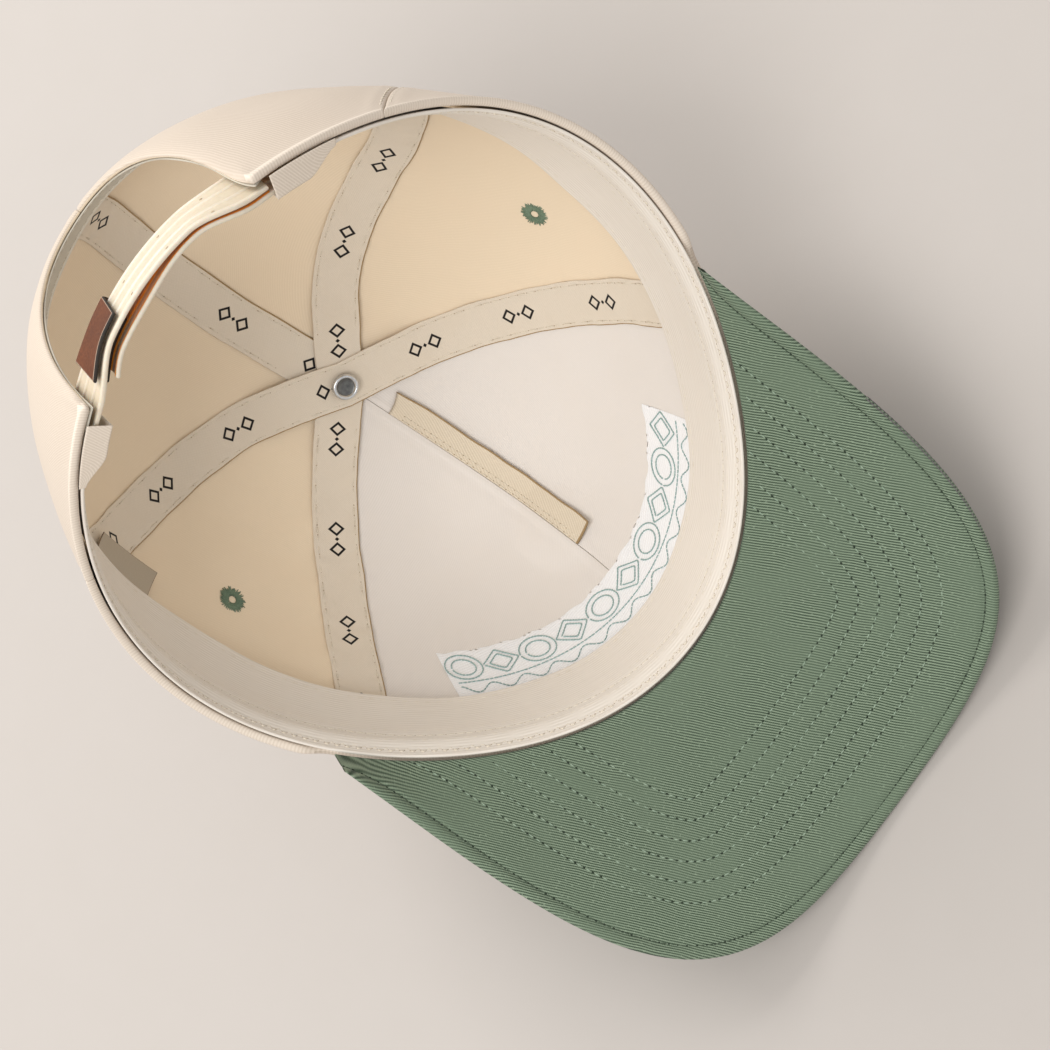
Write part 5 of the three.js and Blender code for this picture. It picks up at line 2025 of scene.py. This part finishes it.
@dataclass
class Strap:
    """The two plastic straps in the arch and the leather tab folded over the outer one.

    Attributes:
        ribs: Middle, half width and height of each moulded rib.
    """

    finishes: Finishes
    height: float = 17.5
    thickness: float = 1.15
    bow: float = 7.5
    root: float = 91.6
    radius: float = 97.5
    half_span: float = 33.0
    dip: float = -2.0
    base_height: float = -16.6
    wall_start: float = 9.0
    wall_full: float = 19.8
    gap: float = 0.35
    facet_room: float = 0.6
    outer_ends: tuple[float, float] = (-22.0, 28.0)
    inner_ends: tuple[float, float] = (-28.0, 14.0)
    rib_size: float = 0.45
    ribs: tuple[tuple[float, float, float], ...] = (
        (0.9, 0.9, 0.45),
        (6.2, 0.55, 0.35),
        (11.8, 0.55, 0.35),
        (17.1, 0.9, 0.45),
    )
    mark_turns: tuple[float, ...] = (-13.5, -5.5, 2.5)
    mark_heights: tuple[float, ...] = (3.4, 14.6)
    tab_width: float = 17.0
    tab_turns: tuple[float, float] = (6.0, 16.0)
    tab_thickness: float = 0.95
    tab_low: float = 3.0
    tab_gap: float = 0.45
    tab_bevel: tuple[float, float] = (0.55, 0.9)
    tab_cut: tuple[float, float] = (0.2, 0.4)

    def point(self, turn_at: Array, height: Array, depth: Array) -> Array:
        """Middle of a strap, free in the arch and against the cloth past its corners, in row millimetres.

        Args:
            turn_at: Turns from the middle of the arch, in degrees.
            height: Heights on the strap.
            depth: Distances inwards from the outer strap's middle.

        Returns:
            The points.
        """
        azimuth = math.pi - np.radians(turn_at)
        y = self.radius * np.sin(np.radians(turn_at))
        arc = 1 - (y / self.half_span) ** 2
        x, z = -(self.root + self.bow * arc) + depth, self.base_height + self.dip * arc + height
        free = lie(np.stack([x, y, z], -1))
        layer = 2 * self.gap + self.facet_room + 0.6 + self.thickness / 2 + depth
        wall = skin(azimuth, CROWN.rise_at_height(azimuth, height), -layer)
        return mix(free, wall, smooth(np.abs(turn_at), self.wall_start, self.wall_full)[..., None])

    def side(self, turn_at: Array, height: Array, depth: Array) -> Array:
        """Normals of a strap's face.

        Args:
            turn_at: Turns from the middle of the arch, in degrees.
            height: Heights on the strap.
            depth: Distances inwards from the outer strap's middle.

        Returns:
            The outward normals.
        """
        step = 0.2
        along = self.point(turn_at + step, height, depth) - self.point(turn_at - step, height, depth)
        up = self.point(turn_at, height + step, depth) - self.point(turn_at, height, depth)
        return -unit(np.cross(along, up))

    def parting(self, turn_at: Array) -> Array:
        """Distance from the outer strap's middle to the inner one's."""
        return self.thickness + mix(0.85, 2.3, smooth(turn_at, -8.0, 4.0))

    def relief(self, height: Array) -> Array:
        """Height of the moulded ribs on the outer face.

        Args:
            height: Heights on the strap.

        Returns:
            The ribs' heights.
        """
        ribs = 0.0
        for middle, half, size in self.ribs:
            ribs = ribs + size * (1 - smooth(np.abs(height - middle), half - 0.3, half + 0.35))
        return ribs

    def band(self, name: str, ends: tuple[float, float], parted: bool, material: bpy.types.Material) -> None:
        """Builds one strap.

        Args:
            name: Name of the CAD node.
            ends: Turns of its ends from the middle of the arch, in degrees.
            parted: Whether it is the inner strap, which bows away from the outer one.
            material: Its material.
        """
        length = math.radians(ends[1] - ends[0]) * self.radius
        u, v = edged(length, 0.8, 90), edged(self.height, 0.6, 66)

        def face(grid_u: Array, grid_v: Array, sign: int) -> Array:
            """One face, with the moulded ribs on the outer one."""
            turn_at, height = mix(ends[0], ends[1], grid_u), grid_v * self.height
            depth = self.parting(turn_at) if parted else np.zeros_like(turn_at)
            across, along = np.minimum(height, self.height - height), np.minimum(grid_u, 1 - grid_u) * length
            fullness = quarter_round(np.minimum(across, along), 0.4)
            relief = self.relief(height) - self.rib_size if sign > 0 else 0.0
            out = (self.thickness / 2 * sign + relief) * fullness
            return self.point(turn_at, height, depth) + self.side(turn_at, height, depth) * out[..., None]

        shell = Shell(f"{name}_moulded", u, v, face, flat_cloth(length, self.height))
        piece = shell.build([material, material], "strap_plastic", [name])
        # The recesses between the ribs take a darker copy of the plastic: painted shade.
        recess = self.finishes.plastic_recess_shade.material()
        trim(piece, recess, lambda _, up: self.relief(up) < 0.16, Face.OUTSIDE)
        both = self.outer_ends[0], self.inner_ends[1]
        first, last = (math.radians(end - ends[0]) * self.radius for end in both)
        # The faces of the two straps that look at each other take the orange, glowing plastic: painted light
        # passing through the plastic between the straps.
        trim(
            piece,
            self.finishes.plastic_painted_glow.material(),
            lambda along, up: first < along < last and 0.5 < up < self.height - 0.5,
            Face.OUTSIDE if parted else Face.INSIDE,
        )

    def tab(self) -> None:
        """Builds the tab from the outer leaf over the strap's upper edge to the inner leaf."""
        leather, edge = self.finishes.leather.material(), self.finishes.cut_edge.material()
        near, thick = self.thickness / 2 + self.tab_gap, self.tab_thickness
        width, low, over = self.tab_width, self.tab_low, self.height + 0.5
        leaf = over - low
        fold = math.pi * near
        run = 2 * leaf + fold
        u, v = edged(width, 0.4, 24), edged(run, 0.4, 70)

        def face(grid_u: Array, grid_v: Array, sign: int) -> Array:
            """One face: up the outer leaf, round the strap's upper edge and down the inner leaf."""
            turn_at, s = mix(*self.tab_turns, grid_u), grid_v * run
            angle = np.clip((s - leaf) / fold, 0.0, 1.0) * math.pi
            border = np.minimum(np.minimum(grid_u, 1 - grid_u) * width, np.minimum(s, run - s))
            radius = near + thick / 2 + thick / 2 * quarter_round(border, 0.35) * sign
            height = np.where(s < leaf, low + s, np.where(s > leaf + fold, low + run - s, over))
            height = height + radius * np.sin(angle)
            base, zero = np.minimum(height, self.height), np.zeros_like(turn_at)
            foot = self.point(turn_at, base, zero)
            up = unit(foot - self.point(turn_at, base - 1.0, zero))
            out = self.side(turn_at, base, zero) * (radius * np.cos(angle))[..., None]
            return foot + up * np.maximum(height - self.height, 0.0)[..., None] + out

        shell = Shell("strap_tab_leather", u, v, face, flat_cloth(width, run))
        piece = shell.build([leather], "tab_leather", ["strap_tab"])
        bevel = self.finishes.leather_edge.material()
        for material, (x, y) in ((bevel, self.tab_bevel), (edge, self.tab_cut)):
            trim(piece, material, lambda across, s: not x < across < width - x or not y < s < run - y)

    def marks(self, material: bpy.types.Material) -> None:
        """Adds the small moulding marks in the outer strap's recess.

        Args:
            material: Their material.
        """
        dots = Stitching("strap_moulding_marks", material, None, "strap_plastic")
        for turn_at in self.mark_turns:
            for height in self.mark_heights:
                t, h, zero = (np.array([x]) for x in (turn_at, height, 0.0))
                side = self.side(t, h, zero)[0]
                along = self.point(t + 0.1, h, zero)[0] - self.point(t, h, zero)[0]
                centre = self.point(t, h, zero)[0] + side * (self.thickness / 2 - self.rib_size)
                dots.bead(centre, along, side, (0.5, 0.5, 0.16), 0)
        dots.build()

    def build(self) -> None:
        """Builds both straps, the marks and the tab."""
        plastic = self.finishes.plastic.material()
        self.band("snap_strap_outer", self.outer_ends, False, plastic)
        self.band("snap_strap_inner", self.inner_ends, True, plastic)
        # The moulding marks take the brown of the needle holes' painted shade.
        self.marks(self.finishes.cream_needle_hole_shade.material())
        self.tab()


@dataclass
class SmallParts:
    """The eyelets, the button, the rivet and the care label.

    Attributes:
        eyelets: Node, azimuth, rise and the cloth's crease at each eyelet.
        rivet_profile: Radius and height of the rivet's profile.
        button_profile: Radius and height of the button's profile.
    """

    finishes: Finishes
    eyelets: tuple[tuple[str, float, float, float], ...] = (
        ("eyelet_side_right", -86.2, 0.395, 0.23),
        ("eyelet_side_left", 89.9, 0.406, -0.04),
        ("eyelet_back_left", 146.0, 0.63, -0.13),
        ("eyelet_back_right", -147.0, 0.63, -0.34),
    )
    rivet_depth: float = 3.8
    rivet_face: float = 2.8
    rivet_profile: tuple[tuple[float, float], ...] = (
        (0.0, -0.62),
        (1.2, -0.6),
        (2.4, -0.66),
        (2.75, -0.8),
        (2.95, -1.2),
        (3.15, -1.36),
        (3.5, -1.38),
        (3.85, -1.2),
        (4.05, -0.8),
        (4.1, -0.3),
        (3.9, -0.05),
        (0.0, 0.0),
    )
    button_profile: tuple[tuple[float, float], ...] = (
        (0.0, 4.4),
        (2.3, 4.25),
        (4.6, 3.75),
        (6.3, 2.8),
        (7.3, 1.6),
        (7.6, 0.9),
        (7.2, 0.3),
        (6.4, 0.1),
        (0.0, 0.1),
    )
    threads: int = 84
    eyelet_hole: float = 1.0
    eyelet_reach: float = 4.0
    label_size: tuple[float, float] = (24.0, 12.0)
    label_low: float = 29.0
    label_lift: float = 2.1
    label_turns: tuple[float, float] = (108.5, 123.5)
    label_border: float = 0.3

    def eyelet(
        self, name: str, azimuth: float, rise: float, crease: float, material: bpy.types.Material
    ) -> None:
        """Sews one eyelet: radial threads on both faces round a small hole.

        Args:
            name: Name of the CAD node.
            azimuth: Azimuth of its middle in degrees.
            rise: Rise of its middle.
            crease: How far the cloth's creases stand out there, in millimetres.
            material: The thread's material.
        """
        phi, t = np.array([math.radians(azimuth)]), np.array([rise])
        out = turn(CROWN.normal(phi, t))[0]
        around = unit(np.cross(out, [0.0, 0.0, 1.0]))
        up = np.cross(out, around)
        ring = Stitching(f"{name}_thread", material, None, "eyelet_thread")
        draw = np.random.default_rng(abs(int(azimuth)))
        for sign in (-1.0, 1.0):
            face = skin(phi, t, np.array([crease + (WALL if sign > 0 else 0.0)]))[0] + out * sign * 0.1
            for k in range(self.threads):
                angle = math.tau * (k + draw.uniform(-0.2, 0.2)) / self.threads
                ray = around * math.cos(angle) + up * math.sin(angle)
                reach = self.eyelet_reach + draw.uniform(-0.6, 0.7)
                middle = (self.eyelet_hole + reach) / 2
                swirl = np.cross(out, ray) * draw.uniform(-0.35, 0.35)
                tip = ray + swirl * 0.5
                half = ((reach - 0.8) / 2, 0.19, 0.3 + draw.uniform(-0.06, 0.06))
                ring.bead(face + ray * middle, tip, out * sign, half, 0)
        bmesh.ops.remove_doubles(ring.builder, verts=ring.builder.verts[:], dist=1e-8)
        piece = ring.build()
        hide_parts(name)

    def lathe(
        self, profile: Sequence[tuple[float, float]], height: float, segments: int
    ) -> bmesh.types.BMesh:
        """Spins a profile of radius and height about the crown's axis.

        Args:
            profile: Points from axis to axis.
            height: Worn height of the profile's zero.
            segments: Faces in a full turn.

        Returns:
            The closed body in row metres.
        """
        builder = bmesh.new()
        corners = [builder.verts.new((r, 0.0, z)) for r, z in profile]
        edges = [builder.edges.new(pair) for pair in zip(corners, corners[1:])]
        bmesh.ops.spin(
            builder,
            geom=[*corners, *edges],
            cent=(0, 0, 0),
            axis=(0, 0, 1),
            angle=math.tau,
            steps=segments,
            use_merge=True,
        )
        bmesh.ops.remove_doubles(builder, verts=builder.verts[:], dist=1e-4)
        base = np.array([CROWN.top_forward, CROWN.top_left, height])
        for vertex in builder.verts:
            vertex.co = Vector((lie(np.array(vertex.co) + base) * MM).tolist())
        bmesh.ops.recalc_face_normals(builder, faces=builder.faces[:])
        for polygon in builder.faces:
            polygon.smooth = True
        return builder

    def rivet(self) -> None:
        """Builds the rivet: a bright ring round a darker, slightly dished face."""
        low = CROWN.height - self.rivet_depth
        builder = self.lathe(self.rivet_profile, low, 64)
        centre = Vector((lie(np.array([CROWN.top_forward, CROWN.top_left, low])) * MM).tolist())
        axis = Vector(turn(np.array([0.0, 0.0, 1.0])).tolist())
        for polygon in builder.faces:
            away = polygon.calc_center_median() - centre
            flat = (away - axis * away.dot(axis)).length / MM
            polygon.material_index = 1 if flat < self.rivet_face else 0
        materials = [self.finishes.rivet_ring.material(), self.finishes.rivet_face.material()]
        finish_piece("button_rivet_metal", builder, materials, "rivet_metal", ["button_rivet"])

    def button(self, material: bpy.types.Material) -> None:
        """Builds the cloth-covered button on top.

        Args:
            material: Its cloth.
        """
        builder = self.lathe(self.button_profile, CROWN.height + WALL + 0.1, 48)
        layer = builder.loops.layers.uv.new(CLOTH_MAP)
        for polygon in builder.faces:
            for loop in polygon.loops:
                loop[layer].uv = (loop.vert.co.x / MM, loop.vert.co.y / MM)
        finish_piece("top_button_cloth", builder, [material], "green_twill", ["top_button"])

    def label(self) -> None:
        """Builds the bare care label that stands up out of the sweatband."""
        width, length, border = *self.label_size, self.label_border

        def middle(grid_u: Array, grid_v: Array) -> tuple[Array, Array, Array]:
            """Middle of the label, which leans away from the crown towards its top."""
            azimuth = np.radians(mix(*self.label_turns, grid_u))
            height = self.label_low + grid_v * length
            lift = self.label_lift + 0.5 * np.sin(grid_u * 2.2) * grid_v
            return azimuth, CROWN.rise_at_height(azimuth, height), lift

        sheet = LaidSheet("care_label_cloth", (width, length), middle, 0.2, (0.3, 0.3))
        u, v = edged(width, 0.4, 20), edged(length, 0.4, 14)
        piece = sheet.build(u, v, self.finishes.label.material(), "label_cloth", ["care_label"])
        edge = self.finishes.label_edge.material()
        trim(piece, edge, lambda across, up: min(across, width - across, length - up) < border)

    def build(self) -> None:
        """Builds all the small parts."""
        thread = self.finishes.green_thread.material()
        for name, azimuth, rise, crease in self.eyelets:
            self.eyelet(name, azimuth, rise, crease, thread)
        self.rivet()
        self.button(self.finishes.green_twill.material())
        self.label()


@dataclass
class FrontMotifs:
    """The pale underside of the stitched border on the front: lozenges, rings and a wave."""

    finishes: Finishes
    first: float = -37.0
    last: float = 42.0
    low: float = 28.0
    high: float = 54.0
    arm: float = 70.0
    count: int = 10
    length: float = 100.0
    sewn_on: float = 0.3

    def place(self, turn_at: Array, height: Array, depth: float) -> tuple[Array, Array]:
        """Points and inward normals on the inside of the front, in the row frame.

        Args:
            turn_at: Azimuths in degrees.
            height: Heights above the rim.
            depth: Distance inwards.

        Returns:
            The points and the normals.
        """
        azimuth = np.radians(turn_at)
        rise = CROWN.rise_at_height(azimuth, height)
        return skin(azimuth, rise, np.full(np.shape(azimuth), -depth)), -turn(CROWN.normal(azimuth, rise))

    def ground(self) -> None:
        """Lays the white backing with its uneven border."""
        u, v = np.linspace(0, 1, 140), np.linspace(0, 1, 34)

        tall = self.high - self.low

        def face(grid_u: Array, grid_v: Array, sign: int) -> Array:
            """One face, ragged along its upper border and uneven where it shows."""
            ragged = 0.7 * ripple(grid_u * self.length, grid_v * 6.0, 7.0, 91)
            azimuth = np.radians(mix(self.first, self.last, grid_u))
            height = mix(self.low, self.high, grid_v) + ragged * grid_v
            top, end = (1 - grid_v) * tall, np.minimum(grid_u, 1 - grid_u) * self.length
            half = 0.09 * np.minimum(quarter_round(top, 1.0), quarter_round(end, 1.0))
            bump = 0.03 * ripple(grid_u * self.length, height, 2.2, 92) * (sign > 0)
            return skin(azimuth, CROWN.rise_at_height(azimuth, height), -(0.16 + half * sign + bump))

        shell = Shell("front_border_backing", u, v, face, flat_cloth(self.length, tall))
        shell.build([self.finishes.backing.material()], "stiffened_twill")

    def build(self) -> None:
        """Builds the backing and sews the outlines."""
        self.ground()
        rows = Stitching("front_border_outlines", self.finishes.outline.material(), None, "stiffened_twill")
        turns = np.linspace(0.0, math.tau, 49)
        for k in range(self.count):
            middle = mix(self.first + 4.0, self.last - 4.0, k / (self.count - 1))
            for size in (4.6, 3.0):
                x, y = size * np.cos(turns), size * np.sin(turns)
                if k % 2 == 0:
                    x, y = (size * np.sign(w) * np.abs(w) ** 2 for w in (np.cos(turns), np.sin(turns)))
                turn_at = middle + np.degrees(x / self.arm)
                rows.row(*self.place(turn_at, 46.5 + y * 1.2, self.sewn_on), 0.95, 1.0, 0.5, 0.06)
        sweep = np.linspace(self.first + 1.0, self.last - 1.0, 400)
        wave = 36.0 + 1.9 * np.sin(np.radians(sweep) * self.arm * math.tau / 8.0)
        for height in (wave, wave * 0 + 32.6, wave * 0 + 39.6):
            rows.row(*self.place(sweep, height, self.sewn_on), 1.3, 1.2, 0.45, 0.06)
        rows.build()


@dataclass
class Studio:
    """Camera, floor and soft light."""

    view_axes: tuple[tuple[float, float, float], ...] = (
        (0.73529, -0.59118, -0.33144),
        (0.48896, 0.80136, -0.34459),
        (0.46932, 0.09131, 0.87830),
    )
    view_shift: tuple[float, float, float] = (-22.407, -14.783, 591.680)
    focal_pixels: float = 2254.8
    image_pixels: float = 1050.0
    sensor: float = 36.0
    aim: Vector = field(default_factory=lambda: Vector((0.0, 0.0, 0.05)))
    distance: float = 1.6
    lamps: tuple[tuple[str, float, float, float], ...] = (
        ("window_low", 80.0, 60.0, 13.4),
        ("window_far", -40.0, 40.0, 19.8),
    )
    ambient: float = 0.74

    def camera(self) -> bpy.types.Object:
        """Makes the camera at the photograph's place and angle.

        Returns:
            The camera.
        """
        right, down, ahead = np.array(self.view_axes)
        seat = -np.array(self.view_axes).T @ np.array(self.view_shift)
        data = bpy.data.cameras.new("camera")
        data.sensor_width = self.sensor
        data.lens = self.sensor * self.focal_pixels / self.image_pixels
        data.clip_start, data.clip_end = 0.01, 100.0
        camera = bpy.data.objects.new("camera", data)
        bpy.context.scene.collection.objects.link(camera)
        basis = np.eye(4)
        basis[:3, 0], basis[:3, 1], basis[:3, 2] = turn(right), turn(-down), turn(-ahead)
        basis[:3, 3] = lie(seat) * MM
        camera.matrix_world = Matrix(basis.tolist())
        bpy.context.scene.camera = camera
        return camera

    def floor(self) -> None:
        """Lays the pale floor."""
        builder = bmesh.new()
        bmesh.ops.create_grid(builder, x_segments=1, y_segments=1, size=3.0)
        mesh = bpy.data.meshes.new("floor")
        builder.to_mesh(mesh)
        builder.free()
        low, high = (0.462, 0.423, 0.388), (0.468, 0.429, 0.395)
        paper = GrainFinish("floor_paper", low, high, 60, 0.0, 0.9, 0.0, 0.1)
        mesh.materials.append(paper.material())
        floor = bpy.data.objects.new("floor", mesh)
        floor.location.z = -0.0001
        bpy.context.scene.collection.objects.link(floor)

    def light(self, name: str, place: Vector, power: float) -> None:
        """Hangs one soft area light that faces the cap.

        Args:
            name: Name of the light.
            place: Where it hangs, in metres.
            power: Its power in watts.
        """
        data = bpy.data.lights.new(name, "AREA")
        data.shape = "SQUARE"
        data.size = 0.9
        data.energy = power
        lamp = bpy.data.objects.new(name, data)
        lamp.location = place
        lamp.rotation_mode = "QUATERNION"
        lamp.rotation_quaternion = (place - self.aim).to_track_quat("Z", "Y")
        bpy.context.scene.collection.objects.link(lamp)

    def build(self, camera: bpy.types.Object) -> None:
        """Builds the floor and the light.

        Args:
            camera: The camera, from whose left the lamps are turned.
        """
        self.floor()
        left = -(camera.matrix_world.to_3x3() @ Vector((1, 0, 0)))
        flat_left = Vector((left.x, left.y, 0)).normalized()
        flat_down = Vector((-flat_left.y, flat_left.x, 0.0))
        for name, turned, raised, power in self.lamps:
            turned, raised = math.radians(turned), math.radians(raised)
            flat = flat_left * math.cos(turned) + flat_down * math.sin(turned)
            way = flat * math.cos(raised) + Vector((0.0, 0.0, math.sin(raised)))
            self.light(name, self.aim + way * self.distance, power)
        world = bpy.data.worlds.new("world")
        world.use_nodes = True
        back = world.node_tree.nodes["Background"]
        back.inputs["Color"].default_value = (1.0, 1.0, 1.0, 1.0)
        back.inputs["Strength"].default_value = self.ambient
        bpy.context.scene.world = world
        bpy.context.scene.view_settings.view_transform = "Standard"


def main() -> None:
    """Builds the camera, the cap and the studio in order."""
    logging.basicConfig(level=logging.INFO, format="%(name)s: %(message)s")
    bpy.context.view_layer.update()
    studio = Studio()
    camera = studio.camera()
    finishes = Finishes()
    panels = Panels(finishes)
    panels.build()
    Peak(finishes).build()
    panels.declare(*Tapes(finishes).build())
    FrontMotifs(finishes).build()
    Sweatband(finishes).build()
    Strap(finishes).build()
    SmallParts(finishes).build()
    studio.build(camera)
    bpy.context.view_layer.update()


if __name__ == "__main__":
    main()
